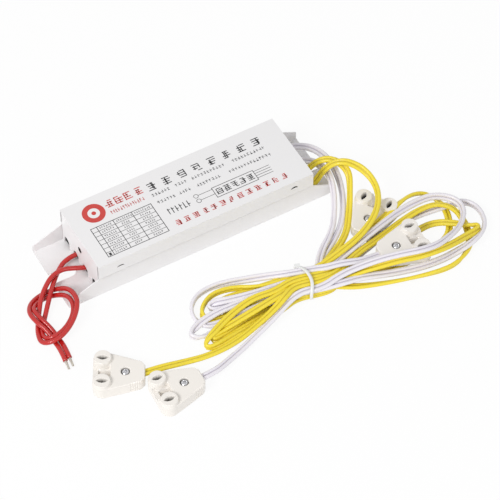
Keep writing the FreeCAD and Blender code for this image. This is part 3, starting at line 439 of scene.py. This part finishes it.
CORD_ROUTES = {
    "yellow_cord_2": (
        [(54.0, -13.8, 3.4, 0), (61.2, -13.5, 4.4, 0), (66.8, -12.6, 11.6, 0), (73.6, -15.6, 17.6, 0),
         (80.2, -21.5, 16.2, 30), (83.4, -30.0, 13.4, 60), (81.4, -39.4, 11.6, 60),
         (74.0, -47.8, 10.8, 30), (62.5, -53.7, 9.4, 10), (49.5, -56.4, 8.0, 0)]
        + tied(5.6, 5.5, True)
        + [(17.1, -54.5, 5.0, 30), (7.9, -51.8, 3.8, 60), (2.4, -48.1, 2.6, 90), (-3.8, -45.1, 1.9, 90),
           (-10.3, -44.8, 1.9, 90), (-15.4, -47.0, 1.9, 90), (-19.2, -50.6, 1.9, 90),
           (-20.2, -54.6, 1.7, 60), (-17.0, -57.6, 1.0, 0), (-8.0, -58.6, 1.0, 0), (2.0, -58.4, 1.0, 0),
           (14.0, -58.2, 2.0, 0)]
        + tied(2.0, 3.6, False)
        + [(44.2, -66.9, 4.6, 0), (53.3, -69.3, 6.6, 0), (62.1, -72.6, 9.0, 0), (71.1, -75.6, 11.0, 0),
           (80.2, -78.4, 11.2, 0), (90.6, -79.0, 10.4, 0), (98.7, -77.4, 8.0, 0), (107.7, -74.8, 5.2, 20),
           (113.2, -73.8, 4.2, 45), (116.2, -72.4, 3.4, 80), (115.6, -70.6, 3.4, 80),
           (111.0, -68.6, 4.2, 30), (105.9, -64.0, 3.8, 0), (100.9, -59.8, 2.6, 0), (94.3, -57.8, 1.2, 0),
           (80.1, -60.7, 1.0, 0), (68.5, -62.0, 1.4, 0), (58.1, -62.9, 3.0, 0), (50.0, -62.8, 4.4, 0),
           (44.5, -63.0, 6.0, 0)]
        + tied(1.4, 7.3, True)
        + [(13.7, -60.4, 7.0, 0), (4.3, -58.7, 6.6, 0), (-3.9, -59.4, 5.6, 0), (-13.1, -62.0, 4.8, 0),
           (-19.7, -64.6, 4.0, 10), (-24.6, -66.4, 2.9, 45), (-26.8, -68.2, 1.9, 90),
           (-25.9, -70.6, 1.9, 90), (-20.0, -70.9, 1.8, 60), (-10.0, -69.2, 1.0, 0), (2.0, -68.2, 1.0, 0),
           (13.0, -67.4, 1.2, 0)]
        + tied(-5.2, 1.75, False)
        + [(39.5, -68.2, 0.95, 0), (42.5, -66.4, 1.0, 0), (47.0, -62.6, 1.0, 0), (52.0, -58.6, 1.0, 0),
           (58.4, -54.8, 2.6, 0)]
        + entry(3)),
    "yellow_cord_1": (
        [(54.0, -4.6, 3.4, 0), (61.2, -4.8, 4.2, 0), (66.6, -7.2, 12.4, 0), (72.6, -10.9, 14.6, 0),
         (77.0, -19.0, 12.2, 40), (73.0, -27.2, 7.0, 60), (67.6, -35.4, 2.8, 40), (60.5, -45.0, 1.8, 20),
         (47.5, -53.0, 2.6, 0)]
        + tied(5.6, 3.6, True)
        + [(13.4, -56.0, 3.0, 0), (4.2, -51.4, 2.0, 0), (-4.0, -49.2, 1.2, 10), (-9.4, -49.6, 1.0, 10),
           (-11.8, -52.4, 1.0, 10), (-9.4, -55.6, 1.4, 10), (-1.0, -57.0, 2.8, 0), (8.0, -59.4, 2.9, 0),
           (15.0, -62.8, 3.4, 0)]
        + tied(-5.2, 3.6, False)
        + [(44.0, -69.4, 4.3, 0), (56.0, -70.6, 2.8, 0), (70.0, -72.0, 1.4, 0), (84.0, -71.8, 1.0, 0),
           (93.5, -70.7, 1.1, 0), (99.4, -69.5, 1.3, 20), (103.3, -66.5, 1.45, 30),
           (106.3, -61.8, 1.35, 20), (108.6, -55.8, 1.2, 10), (108.9, -50.8, 1.35, 20),
           (107.3, -46.2, 1.9, 60), (104.8, -42.6, 3.0, 60), (100.1, -41.0, 4.0, 60),
           (94.0, -42.0, 5.5, 60), (86.5, -45.0, 6.6, 40), (72.5, -49.6, 6.4, 10), (63.1, -51.8, 5.8, 0),
           (54.0, -54.8, 4.9, 0), (46.0, -58.8, 3.8, 0), (40.5, -61.6, 4.0, 0)]
        + tied(-1.6, 5.45, True)
        + [(14.5, -63.4, 7.2, 0), (0.7, -64.6, 5.9, 0), (-9.5, -64.8, 4.0, 0), (-16.8, -65.0, 2.8, 10),
           (-20.8, -65.6, 2.2, 50), (-22.7, -66.8, 1.9, 90), (-20.8, -68.4, 1.4, 50),
           (-14.0, -66.9, 1.0, 10), (-4.0, -65.4, 1.0, 0), (5.0, -64.6, 1.0, 0), (14.0, -64.4, 1.3, 0)]
        + tied(-1.6, 1.75, False)
        + [(39.5, -67.6, 3.0, 0), (44.0, -70.2, 2.4, 0), (51.0, -73.5, 1.4, -20), (64.0, -78.4, 1.7, -45),
           (77.8, -82.3, 1.9, -60), (89.9, -84.6, 1.9, -80), (97.3, -83.9, 1.9, -80),
           (104.3, -80.5, 1.6, -50), (108.6, -76.2, 1.2, -20), (111.2, -70.5, 1.0, 0),
           (112.4, -65.6, 1.3, 10), (112.3, -60.6, 2.7, 30), (110.4, -56.6, 4.6, 30),
           (106.7, -52.6, 4.8, 30), (102.0, -50.9, 4.7, 30), (94.8, -50.6, 4.4, 20), (85.4, -52.4, 4.4, 10),
           (71.1, -56.0, 4.6, 0), (60.4, -58.2, 5.4, 0), (50.3, -62.4, 6.3, 0), (44.0, -65.2, 7.2, 0)]
        + tied(-2.2, 7.3, True)
        + [(16.0, -65.6, 7.8, 0), (10.0, -67.9, 5.8, 10), (-1.0, -70.4, 3.0, 20), (-14.0, -73.4, 1.6, 20),
           (-28.0, -73.8, 1.5, 20), (-41.0, -71.6, 2.2, 10), (-50.5, -70.2, 3.6, 0)]
        + entry(1)),
    "white_cord_1": (
        [(54.0, 13.8, 3.4, 0), (61.5, 13.4, 4.0, 0), (69.8, 4.0, 9.6, 20), (74.0, -7.6, 8.4, 40),
         (73.2, -19.0, 3.4, 60), (66.8, -32.0, 1.8, 60), (58.0, -42.3, 1.6, 40), (43.5, -50.7, 1.0, 0)]
        + tied(5.6, 1.75, True)
        + [(14.0, -54.6, 1.2, 0), (4.0, -54.2, 1.2, 0), (-4.0, -53.4, 2.5, 0), (-12.0, -53.2, 2.9, 20),
           (-15.6, -52.2, 2.8, 80), (-15.4, -50.4, 3.4, 80), (-11.6, -50.9, 4.4, 30),
           (-7.6, -52.6, 4.8, 10), (1.4, -54.8, 5.0, 0), (10.9, -56.8, 5.6, 0)]
        + tied(2.0, 5.45, False)
        + [(42.0, -60.9, 5.5, 0), (48.0, -58.6, 6.2, 0), (62.4, -54.8, 7.4, 0), (74.9, -51.6, 7.6, 0),
           (88.0, -47.6, 6.0, 20), (99.7, -46.4, 5.4, 50), (105.9, -47.0, 5.2, 60), (111.9, -50.8, 5.0, 60),
           (114.8, -55.6, 4.8, 60), (114.4, -60.4, 4.8, 60), (111.6, -65.0, 5.6, 60),
           (106.6, -69.8, 7.0, 45), (98.6, -73.8, 9.4, 20), (90.3, -76.8, 11.6, 0), (81.8, -76.8, 13.0, 0),
           (72.8, -73.8, 12.4, 0), (63.3, -70.8, 11.2, 0), (53.8, -68.6, 9.4, 0), (44.3, -67.6, 8.2, 0)]
        + tied(-5.8, 6.9, True)
        + [(8.2, -71.0, 4.2, 30), (-3.9, -74.7, 2.2, 30), (-13.5, -78.0, 1.6, 20), (-22.5, -81.0, 2.2, 10),
           (-30.0, -84.0, 3.6, 0)]
        + entry(2)),
    "white_cord_2": (
        [(54.0, 4.6, 3.4, 0), (60.5, 4.4, 3.8, 0), (67.2, -3.0, 7.6, 20), (69.2, -12.6, 9.4, 40),
         (67.4, -21.6, 6.6, 60), (62.4, -31.0, 2.0, 60), (55.5, -40.3, 1.9, 40), (43.5, -49.3, 2.8, 0)]
        + tied(2.0, 1.75, True)
        + [(14.0, -61.0, 1.0, 0), (2.0, -61.8, 1.0, 0), (-10.0, -62.2, 1.0, 0), (-19.0, -63.0, 1.0, 0),
           (-25.0, -63.6, 1.5, 45), (-29.6, -61.8, 1.9, 90), (-29.8, -59.0, 1.9, 90),
           (-23.0, -56.6, 2.9, 20), (-14.8, -55.7, 3.6, 0), (-4.9, -56.6, 4.6, 0), (4.4, -58.0, 4.8, 0),
           (14.0, -60.0, 4.2, 0)]
        + tied(-1.6, 3.6, False)
        + [(44.0, -64.4, 3.1, 0), (51.1, -61.2, 2.6, 0), (57.0, -58.8, 2.4, 0), (63.6, -56.6, 1.6, 0),
           (76.6, -53.0, 1.4, 0), (89.2, -50.9, 1.4, 0), (97.2, -51.3, 1.8, 0), (105.6, -53.0, 2.9, 0),
           (111.0, -53.8, 2.9, 10), (116.4, -54.4, 2.2, 45), (120.6, -56.8, 1.9, 90),
           (122.4, -62.0, 1.9, 90), (121.4, -68.4, 1.9, 90), (118.2, -73.2, 2.6, 70),
           (112.8, -77.0, 4.0, 40), (105.5, -79.0, 4.2, 10), (98.0, -79.4, 3.4, -20),
           (90.6, -79.6, 3.0, -30), (80.4, -78.6, 3.0, -30), (66.9, -75.4, 3.4, -20), (53.3, -71.8, 5.2, 0),
           (43.0, -70.6, 6.1, 0)]
        + tied(-5.2, 5.45, True)
        + [(13.0, -63.6, 5.3, 0), (2.0, -62.2, 4.0, 0), (-8.0, -61.6, 3.0, 0), (-16.0, -61.0, 2.4, 0),
           (-21.4, -58.4, 1.2, 20), (-23.9, -53.4, 1.7, 60), (-23.2, -48.4, 1.9, 90),
           (-20.4, -44.4, 1.9, 90), (-16.0, -41.6, 1.9, 90), (-9.3, -40.7, 1.9, 90), (-2.0, -41.7, 1.9, 80),
           (6.5, -45.3, 2.8, 50), (16.9, -50.4, 5.0, 20)]
        + tied(5.0, 7.4, False)
        + [(40.5, -60.9, 8.2, 0), (45.5, -62.4, 9.2, 0), (51.0, -64.0, 9.0, 0), (57.0, -65.6, 8.0, 0)]
        + entry(4)),
}


def add_cords():
    """The four twin cords, each run to its own lamp holder, with the CAD nodes that it stands in for hidden.
    """
    for name, route in CORD_ROUTES.items():
        colour, which = name.split("_")[0], name[-1]
        points = np.array(route)[:, :3] * MM
        spots, passed, length = along(points, TWIN_SPACING)
        lean = np.radians(np.interp(passed, np.arange(len(route)), np.array(route)[:, 3]))
        cord = twin_cord(name, spots, lean, colour + "_insulation")
        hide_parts("%s_lead_%s" % (colour, which), "%s_tail_%s" % (colour, which), "hank")


# The tie: a flat plastic strap round the bundle, with its catch. Sizes are in millimetres

STRAP_STEPS = 96
STRAP_HALF_ACROSS, STRAP_HALF_RISE, STRAP_MIDDLE = 8.3, 4.4, 4.85
STRAP_START, STRAP_BOW, STRAP_SLANT = 0.4, 2.6, 0.16
STRAP_SECTION = [(-0.65, -0.3), (0.65, -0.3), (0.78, 0), (0.65, 0.3), (-0.65, 0.3), (-0.78, 0)]
CATCH_MIDDLE = TIE + TIE_ACROSS * 7.6 - TIE_ALONG * 2.4 + TIE_UP * 7.8
CATCH_HALF_ALONG, CATCH_HALF_ACROSS, CATCH_HALF_RISE = 1.3, 0.9, 1.3


def add_tie():
    """A flat section carried round a rounded box, with side = a cos^0.62 and rise = b sin^0.72, in the plane
    across the bundle. Midway across, the strap bows along the bundle, and all of it slants a little."""
    turn = np.linspace(0, 2 * np.pi, STRAP_STEPS, endpoint=False)
    c, s = np.cos(turn), np.sin(turn)
    side = STRAP_HALF_ACROSS * np.sign(c) * np.abs(c) ** 0.62
    rise = STRAP_MIDDLE + STRAP_HALF_RISE * np.sign(s) * np.abs(s) ** 0.72
    bow = STRAP_BOW * (1 - (side / STRAP_HALF_ACROSS) ** 2)
    skew = STRAP_START + bow - STRAP_SLANT * (side + STRAP_HALF_ACROSS)
    line = TIE + TIE_ACROSS * side[:, None] + TIE_ALONG * skew[:, None] + TIE_UP * rise[:, None]
    heading = np.roll(line, -1, axis=0) - np.roll(line, 1, axis=0)
    heading /= np.linalg.norm(heading, axis=1)[:, None]
    out = np.cross(heading, TIE_ALONG)
    out /= np.linalg.norm(out, axis=1)[:, None]
    flat = np.cross(out, heading)
    ring = np.stack([line + flat * a + out * b for a, b in STRAP_SECTION], 1)
    around = len(STRAP_SECTION)
    k, j = np.meshgrid(np.arange(STRAP_STEPS), np.arange(around), indexing="ij")
    near, far, step = k * around, (k + 1) % STRAP_STEPS * around, (j + 1) % around
    faces = np.stack([near + j, near + step, far + step, far + j], -1)
    strap = piece("tie_strap", ring.reshape(-1, 3) * MM, faces.reshape(-1, 4).tolist(), "tie_plastic")
    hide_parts("tie_band")
    catch = block("tie_catch", CATCH_MIDDLE, TIE_ALONG * CATCH_HALF_ALONG, TIE_ACROSS * CATCH_HALF_ACROSS,
                  TIE_UP * CATCH_HALF_RISE, "tie_plastic")
    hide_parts("tie_band")


# Lid print: plain bars, frames and rings where the real lid has its printing.
# Places are in millimetres from the middle of the case, widths along it and heights across it.
# A row of blocks is its first and last x, how many, its y, and each block's size and stroke. A row of ticks
# is its start, its end, its y, and each tick's height, pitch and stroke. A frame is two x and two y

LID_TOP = 21.0
INK_RISE = 0.015
TARGET = (-41.8, 9.8)
RED_TITLE = (-33.2, -18.2, 4, 11.5, 4.4, 0.5)
RED_TICKS = (-35.0, -17.2, 6.3, 2.1, 1.25, 0.28)
RED_FOOT = (-10.4, 45.0, 13, -13.8, 3.1, 0.42)
BLACK_TITLE = (-11.4, 43.6, 8, 10.7, 4.5, 0.5)
SMALL_ROWS = ((5.9, ((-14.0, -4.4), (-1.9, 3.9), (6.8, 24.3), (28.1, 46.1))),
              (0.9, ((-13.7, -4.2), (-2.4, 4.2), (6.8, 19.6), (23.8, 46.2))))
TABLE = (-47.5, -16.5, -16.0, 2.0)
TABLE_COLUMNS = (-44.5, -36.1, -26.6)
TABLE_ROWS = 7
DIAGRAM_BOX = (12.2, 33.8, -9.8, -3.7)
DIAGRAM_BLOCKS = (14.8, 31.2, 5, -6.75, 3.6, 0.42)
PLUG_X, PLUG_RADIUS, PLUG_ROWS = 3.7, 1.2, (-4.4, -7.4)
OUTPUT_END, OUTPUT_ROWS = 42.2, (-8.8, -4.5, 4)
SIGNS, SIGN_Y = (-11.4, -1.4, 6), -6.2
THIN, RULED, BORDER = 0.24, 0.32, 0.34


def bar(x, y, width, height):
    """The four corners of a bar centred at x, y."""
    return [(x - width / 2, y - height / 2), (x + width / 2, y - height / 2),
            (x + width / 2, y + height / 2), (x - width / 2, y + height / 2)]


def block_of_bars(x, y, size, stroke, dice):
    """A square field of short bars, some along it and some across, at random places."""
    made = []
    for step in (-0.42, -0.14, 0.14, 0.42):
        width = size * dice.uniform(0.45, 0.95)
        made.append(bar(x + dice.uniform(-0.5, 0.5) * (size - width), y + step * size, width, stroke))
    for step in dice.uniform(-0.4, 0.4, 2):
        lift = dice.uniform(-0.15, 0.15) * size
        made.append(bar(x + step * size, y + lift, stroke, size * dice.uniform(0.5, 0.95)))
    return made


def row_of_blocks(first, last, count, y, size, stroke, dice):
    """Fields of bars at even steps."""
    made = []
    for x in np.linspace(first, last, count):
        made += block_of_bars(x, y, size, stroke, dice)
    return made


def row_of_ticks(start, end, y, height, pitch, stroke, dice):
    """A line of small uneven bars from start to end."""
    made = []
    for x in np.arange(start + pitch / 2, end, pitch):
        made.append(bar(x, y + dice.uniform(-0.3, 0.3) * height, pitch * 0.72, stroke))
        made.append(bar(x + dice.uniform(-0.2, 0.2) * pitch, y, stroke, height))
        if dice.random() < 0.6:
            made.append(bar(x, y + dice.choice([-0.42, 0.42]) * height, pitch * 0.6, stroke))
    return made


def frame_of_bars(x0, x1, y0, y1, stroke):
    """Four bars along the sides of a rectangle."""
    return [bar((x0 + x1) / 2, y, x1 - x0 + stroke, stroke) for y in (y0, y1)] + \
        [bar(x, (y0 + y1) / 2, stroke, y1 - y0) for x in (x0, x1)]


def ring_of_bars(x, y, outer, inner, steps=64):
    """A flat ring as quads between two circles."""
    turn = np.linspace(0, 2 * np.pi, steps + 1)
    near = np.stack([x + inner * np.cos(turn), y + inner * np.sin(turn)], 1)
    far = np.stack([x + outer * np.cos(turn), y + outer * np.sin(turn)], 1)
    return np.stack([near[:-1], far[:-1], far[1:], near[1:]], 1).tolist()


def flat_print(name, quads, look):
    """Quads laid on the lid as a film of ink."""
    flat = np.array(quads).reshape(-1, 2)
    spots = np.c_[flat, np.full(len(flat), LID_TOP + INK_RISE)] * MM
    return piece(name, spots, np.arange(len(flat)).reshape(-1, 4).tolist(), "housing_steel", False, look)


def add_print():
    """Red target and rows, black title, table and diagram, and grey small rows, each colour as one piece."""
    dice = np.random.default_rng(7)
    red = ring_of_bars(*TARGET, 5.5, 2.9) + ring_of_bars(*TARGET, 1.1, 0.0, 24)
    red += row_of_blocks(*RED_TITLE, dice)
    red += row_of_ticks(*RED_TICKS, dice)
    red += row_of_blocks(*RED_FOOT, dice)
    flat_print("red_print", red, RED_INK)
    black = row_of_blocks(*BLACK_TITLE, dice)
    x0, x1, y0, y1 = TABLE
    black += frame_of_bars(x0, x1, y0, y1, BORDER)
    black += [bar(x, (y0 + y1) / 2, RULED, y1 - y0) for x in TABLE_COLUMNS]
    rows = np.linspace(y0, y1, TABLE_ROWS + 1)
    black += [bar((x0 + x1) / 2, y, x1 - x0, THIN) for y in rows[1:-1]]
    black += [bar((x0 + TABLE_COLUMNS[0]) / 2, rows[0] + 1.2, 1.2, 1.6)]
    x0, x1, y0, y1 = DIAGRAM_BOX
    black += frame_of_bars(x0, x1, y0, y1, 0.3)
    black += row_of_blocks(*DIAGRAM_BLOCKS, dice)
    plug_end = PLUG_X + PLUG_RADIUS
    for y in PLUG_ROWS:
        black += ring_of_bars(PLUG_X, y, PLUG_RADIUS, 0.95, 32)
        black += [bar((plug_end + x0) / 2, y, x0 - plug_end, THIN)]
    black += [bar((x1 + OUTPUT_END) / 2, y, OUTPUT_END - x1, THIN) for y in np.linspace(*OUTPUT_ROWS)]
    for x in np.linspace(*SIGNS):
        black += [bar(x, SIGN_Y, 0.42, 3.6), bar(x + 0.35, dice.uniform(-7.8, -4.7), 1.3, 0.42)]
    flat_print("black_print", black, BLACK_INK)
    grey = []
    for y, spans in SMALL_ROWS:
        for start, end in spans:
            grey += row_of_ticks(start, end, y, 1.7, 1.6, 0.26, dice)
    columns = (*TABLE_COLUMNS, TABLE[1])
    for row, y in enumerate((rows[:-1] + rows[1:]) / 2):
        for left, right in zip(columns[:-1], columns[1:]):
            inset = 0.8 if row == TABLE_ROWS - 1 else (right - left) * (0.1 if left == columns[0] else 0.26)
            grey += row_of_ticks(left + inset, right - inset, y, 1.2, 1.05, 0.18, dice)
    flat_print("grey_print", grey, GREY_INK)


# Case details that the folded sheet shows, painted as shade in its openings, in millimetres

SHADE_CARDS = (("left", -53.5), ("right", 56.5))
CARD_MIDDLE = 10.5
CARD_HALVES = (0.1, 17.9, 9.95)
VENT_SPOT, VENT_RADIUS, VENT_STEPS = (-54.52, -0.1, 12.7), 1.6, 32
HALF_MOONS = (("left", -43.3, 15.4, 1.0), ("right", 47.4, 16.1, 1.5))
HALF_MOON_REACH, HALF_MOON_STEPS = 1.8, 20
CASE_SIDE = -19.27


def add_case_details():
    """Painted shade for openings in the case: black card inside both end flaps to darken the wire arches, a
    black disc for the vent in the left flap, and two black lanced half moons in the near side: each is the
    strip between two half ellipses of one width."""
    # Black sheets behind the end flaps as painted shade inside the wire arches.
    for side, x in SHADE_CARDS:
        middle = np.array([x, 0, CARD_MIDDLE])
        block("end_shade_card_" + side, middle, *np.diag(CARD_HALVES), "insulating_film", SHADE_BLACK)
    # A black disc as painted shade in the vent hole.
    turn = np.linspace(0, 2 * np.pi, VENT_STEPS, endpoint=False)
    x, y, z = VENT_SPOT
    vent = np.c_[np.full(VENT_STEPS, x), y - VENT_RADIUS * np.cos(turn), z + VENT_RADIUS * np.sin(turn)]
    piece("vent_hole", vent * MM, [list(range(VENT_STEPS))], "insulating_film", False, SHADE_BLACK)
    # Black half moons as painted shade under the lanced tabs.
    steps = HALF_MOON_STEPS
    bow = np.linspace(0, np.pi, steps)
    for side, x, z, tall in HALF_MOONS:
        wide = x + HALF_MOON_REACH * np.cos(bow)
        outer, inner = [np.c_[wide, np.full(steps, CASE_SIDE), z + rise * np.sin(bow)]
                        for rise in (tall, 0.35 * tall)]
        faces = [(k, k + 1, steps + k + 1, steps + k) for k in range(steps - 1)]
        piece("half_moon_shade_" + side, np.r_[outer, inner] * MM, faces, "insulating_film", False, SHADE_BLACK)


# Lamp holders: moulded bodies with two raised rounds, a gap between them and grip ribs at the cable end.
# Along a holder u runs from its front to its cable end, and v across it; both are in millimetres

PIN_HALF_PITCH = 6.35
ROUND_RADIUS = 4.3
SHOULDER = (17.0, 5.9)
CABLE_END = (19.0, 3.4)
SLAB_TOP = 6.2
ROUND_TOP = 8.0
EDGE_RADIUS = 0.6
UNDERSIDE = 0.05
RIBS_START, RIBS_END, RIB_DEPTH = 12.4, 17.4, 0.16
GAP_BACK, GAP_HALF, GAP_FLOOR = 3.7, 3.1, 4.4
WINDOW_FRONT, WINDOW_BACK, WINDOW_HALF = -1.9, 3.1, 1.45
SLOT_HALF_LENGTH, SLOT_HALF_WIDTH, SLOT_DEPTH = 2.7, 1.2, 3.6
SCREW_PLACE = 10.2
SEAT_RADIUS, SEAT_DEPTH, SEAT_SHADE = 2.15, 1.4, 0.9
SCREW_RADIUS, SCREW_TOP, SCREW_FOOT = 1.6, 6.05, 4.7
SCREW_RINGS, SCREW_STEPS = 15, 48
GRID_STEP, NOSE_STEP, NOSE_END = 0.2, 2.0, 104
ACROSS_POINTS, EDGE_CROWDING = 121, 0.93


def holder_half_width(u):
    """Half the body's width: round each pin socket in front, then a straight taper with grip ribs, then a
    short slope to the cable end."""
    reach = math.hypot(SHOULDER[0], PIN_HALF_PITCH - SHOULDER[1])
    touch = math.atan2(SHOULDER[1] - PIN_HALF_PITCH, SHOULDER[0]) + math.acos(ROUND_RADIUS / reach)
    touch_u = ROUND_RADIUS * math.cos(touch)
    touch_v = PIN_HALF_PITCH + ROUND_RADIUS * math.sin(touch)
    nose = PIN_HALF_PITCH + np.sqrt(np.clip(ROUND_RADIUS ** 2 - u ** 2, 0, None))
    side = np.interp(u, [touch_u, SHOULDER[0], CABLE_END[0]], [touch_v, SHOULDER[1], CABLE_END[1]])
    ribs = RIB_DEPTH * (1 - np.cos(2 * np.pi * (u - RIBS_START))) * (u > RIBS_START) * (u < RIBS_END)
    return np.where(u < touch_u, nose, side) - ribs


def holder_height(u, v):
    """The body's top: a flat slab whose edges are rounded, raised to the two rounds, sunk to the gap between
    them, to the screw's seat and to a lens-shaped slot in each round. The second result is how much painted
    shade darkens the colour, in the slots and in the ring between the screw and its seat."""
    half = holder_half_width(u)
    inward = np.minimum.reduce([half - np.abs(v), u + ROUND_RADIUS, CABLE_END[0] - u])
    edge = np.clip(EDGE_RADIUS - inward, 0, EDGE_RADIUS)
    fall = EDGE_RADIUS - np.sqrt(EDGE_RADIUS ** 2 - edge ** 2)
    away = np.hypot(u, np.abs(v) - PIN_HALF_PITCH)
    raised = 1 - soft_step(away, ROUND_RADIUS - 0.55, ROUND_RADIUS - 0.1)
    height = SLAB_TOP - fall * (1 - raised) + (ROUND_TOP - SLAB_TOP) * raised
    gap = (soft_step(GAP_BACK - u, 0, 0.3) * soft_step(GAP_HALF - np.abs(v), 0, 0.3)
           * soft_step(away, ROUND_RADIUS - 0.1, ROUND_RADIUS + 0.2))
    height = height + (GAP_FLOOR - height) * gap
    off_screw = np.hypot(u - SCREW_PLACE, v)
    seat = soft_step(SEAT_RADIUS - off_screw, 0, 0.2)
    height = height - SEAT_DEPTH * seat
    ring = soft_step(off_screw, SCREW_RADIUS - 0.1, SCREW_RADIUS + 0.1) * seat
    lens = SLOT_HALF_WIDTH * (1 - (u / SLOT_HALF_LENGTH) ** 2) - np.abs(np.abs(v) - PIN_HALF_PITCH)
    slot = soft_step(lens, 0, 0.15)
    return height - SLOT_DEPTH * slot, np.maximum(slot, SEAT_SHADE * ring)


def add_holder(number, x, y, z, angle):
    """The body is a grid of points over its outline: the top follows holder_height, the underside is flat,
    and both are left open where the gap between the rounds goes through as a window."""
    nose = -ROUND_RADIUS * np.cos(np.radians(np.arange(0, NOSE_END, NOSE_STEP)))
    u = np.r_[nose, np.arange(nose[-1] + GRID_STEP, CABLE_END[0] - 0.05, GRID_STEP), CABLE_END[0]]
    spread = np.linspace(-np.pi / 2, np.pi / 2, ACROSS_POINTS) * EDGE_CROWDING
    across = np.sin(spread) / np.sin(np.pi / 2 * EDGE_CROWDING)
    uu, bb = np.meshgrid(u, across, indexing="ij")
    vv = bb * holder_half_width(uu)
    height, shading = holder_height(uu, vv)
    window = (uu > WINDOW_FRONT) & (uu < WINDOW_BACK) & (np.abs(vv) < WINDOW_HALF)
    height[window] = UNDERSIDE
    way = math.radians(angle)
    c, s = math.cos(way), math.sin(way)
    place = np.stack([x + uu * c - vv * s, y + uu * s + vv * c], -1)
    rows, columns = uu.shape
    top = np.concatenate([place, (z + height)[..., None]], -1).reshape(-1, 3)
    base = np.concatenate([place, np.full((rows, columns, 1), z + UNDERSIDE)], -1).reshape(-1, 3)
    cell = np.arange(rows * columns).reshape(rows, columns)
    quads = np.stack([cell[:-1, :-1], cell[1:, :-1], cell[1:, 1:], cell[:-1, 1:]], -1)
    through = window[:-1, :-1] & window[1:, :-1] & window[1:, 1:] & window[:-1, 1:]
    quads = quads[~through]
    count = rows * columns
    rim = np.r_[cell[:, 0], cell[-1, 1:], cell[-2::-1, -1], cell[0, -2:0:-1]]
    after = np.roll(rim, -1)
    wall = np.stack([rim, rim + count, after + count, after], -1)
    faces = np.concatenate([quads, quads[:, ::-1] + count, wall[:, ::-1]])
    smooth = np.r_[np.ones(len(quads), bool), np.zeros(len(quads) + len(wall), bool)]
    body = piece("holder_body_%d" % number, np.r_[top, base] * MM, faces.tolist(), "holder_plastic", smooth)
    # Painted shade in the slots and in the ring round the screw.
    mark_painted_shade(body, np.r_[shading.ravel(), np.zeros(count)])
    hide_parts("lamp_holder_%d_body" % number)
    add_holder_screw(number, x + SCREW_PLACE * c, y + SCREW_PLACE * s, z)


def add_holder_screw(number, x, y, z):
    """A small domed head whose height falls with the cube of the radius, with two crossed grooves."""
    radius, turn = np.meshgrid(np.linspace(0.02, SCREW_RADIUS, SCREW_RINGS),
                               np.linspace(0, 2 * np.pi, SCREW_STEPS, endpoint=False), indexing="ij")
    a, b = radius * np.cos(turn), radius * np.sin(turn)
    dome = SCREW_TOP - 0.5 * (radius / SCREW_RADIUS) ** 3
    groove = 1 - soft_step(np.minimum(np.abs(a), np.abs(b)), 0.22, 0.36)
    groove = groove * (1 - soft_step(radius, 1.1, 1.3))
    top = np.stack([x + a, y + b, z + dome - 0.8 * groove], -1)
    foot = top[-1:] * [1, 1, 0] + [0, 0, z + SCREW_FOOT]
    spots = np.concatenate([top, foot]).reshape(-1, 3)
    faces = [face[::-1] for face in tube_faces(SCREW_RINGS + 1, SCREW_STEPS)]
    smooth = np.arange(len(faces)) < (SCREW_RINGS - 1) * SCREW_STEPS
    head = piece("holder_screw_%d" % number, spots * MM, faces, "screw_zinc", smooth)
    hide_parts("lamp_holder_%d_screw" % number)


# Stripped ends of the mains wires: a rope of tinned strands, six round one

STRANDS = 7
STRAND_STEPS, STRAND_SIDES = 24, 8
STRAND_RADIUS = 0.24 * MM
STRAND_SPREAD = 0.44 * MM
STRAND_TWIST = 4.5
TIP_LENGTH, TIP_UNEVEN = 4.4, 0.25


def add_wire_tip(number, start, ahead):
    """Strands twisted round the wire's line, each a thin tube along a helix that narrows towards its end."""
    ahead = ahead / np.linalg.norm(ahead)
    level = np.cross([0, 0, 1.0], ahead)
    level /= np.linalg.norm(level)
    square = np.cross(ahead, level)
    spots, faces = [], []
    for strand in range(STRANDS):
        share = np.linspace(0, 1, STRAND_STEPS)[:, None]
        turn = strand / (STRANDS - 1) * 2 * np.pi + share * STRAND_TWIST
        out = 0.0 if strand == STRANDS - 1 else STRAND_SPREAD
        line = start + ahead * share * (TIP_LENGTH + TIP_UNEVEN * (strand % 3)) * MM + \
            out * (1 - 0.25 * share) * (np.cos(turn) * level + np.sin(turn) * square)
        _, across, up = frames(line, np.zeros(len(line)))
        ring = np.linspace(0, 2 * np.pi, STRAND_SIDES, endpoint=False)[None, :, None]
        wall = line[:, None] + STRAND_RADIUS * (np.cos(ring) * across[:, None] + np.sin(ring) * up[:, None])
        shift = sum(len(s) for s in spots)
        faces += [[corner + shift for corner in face] for face in tube_faces(STRAND_STEPS, STRAND_SIDES)]
        spots.append(wall.reshape(-1, 3))
    tip = piece("stripped_tip_%d" % number, np.concatenate(spots), faces, "tinned_strand")
    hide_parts("red_wire_tip_%d" % number)
    return tip


set_camera()
set_light()
add_floor()
add_red_wires()
for number, spot in enumerate(HOLDER_SPOTS, 1):
    add_holder(number, *spot)
add_cords()
add_tie()
add_print()
add_case_details()
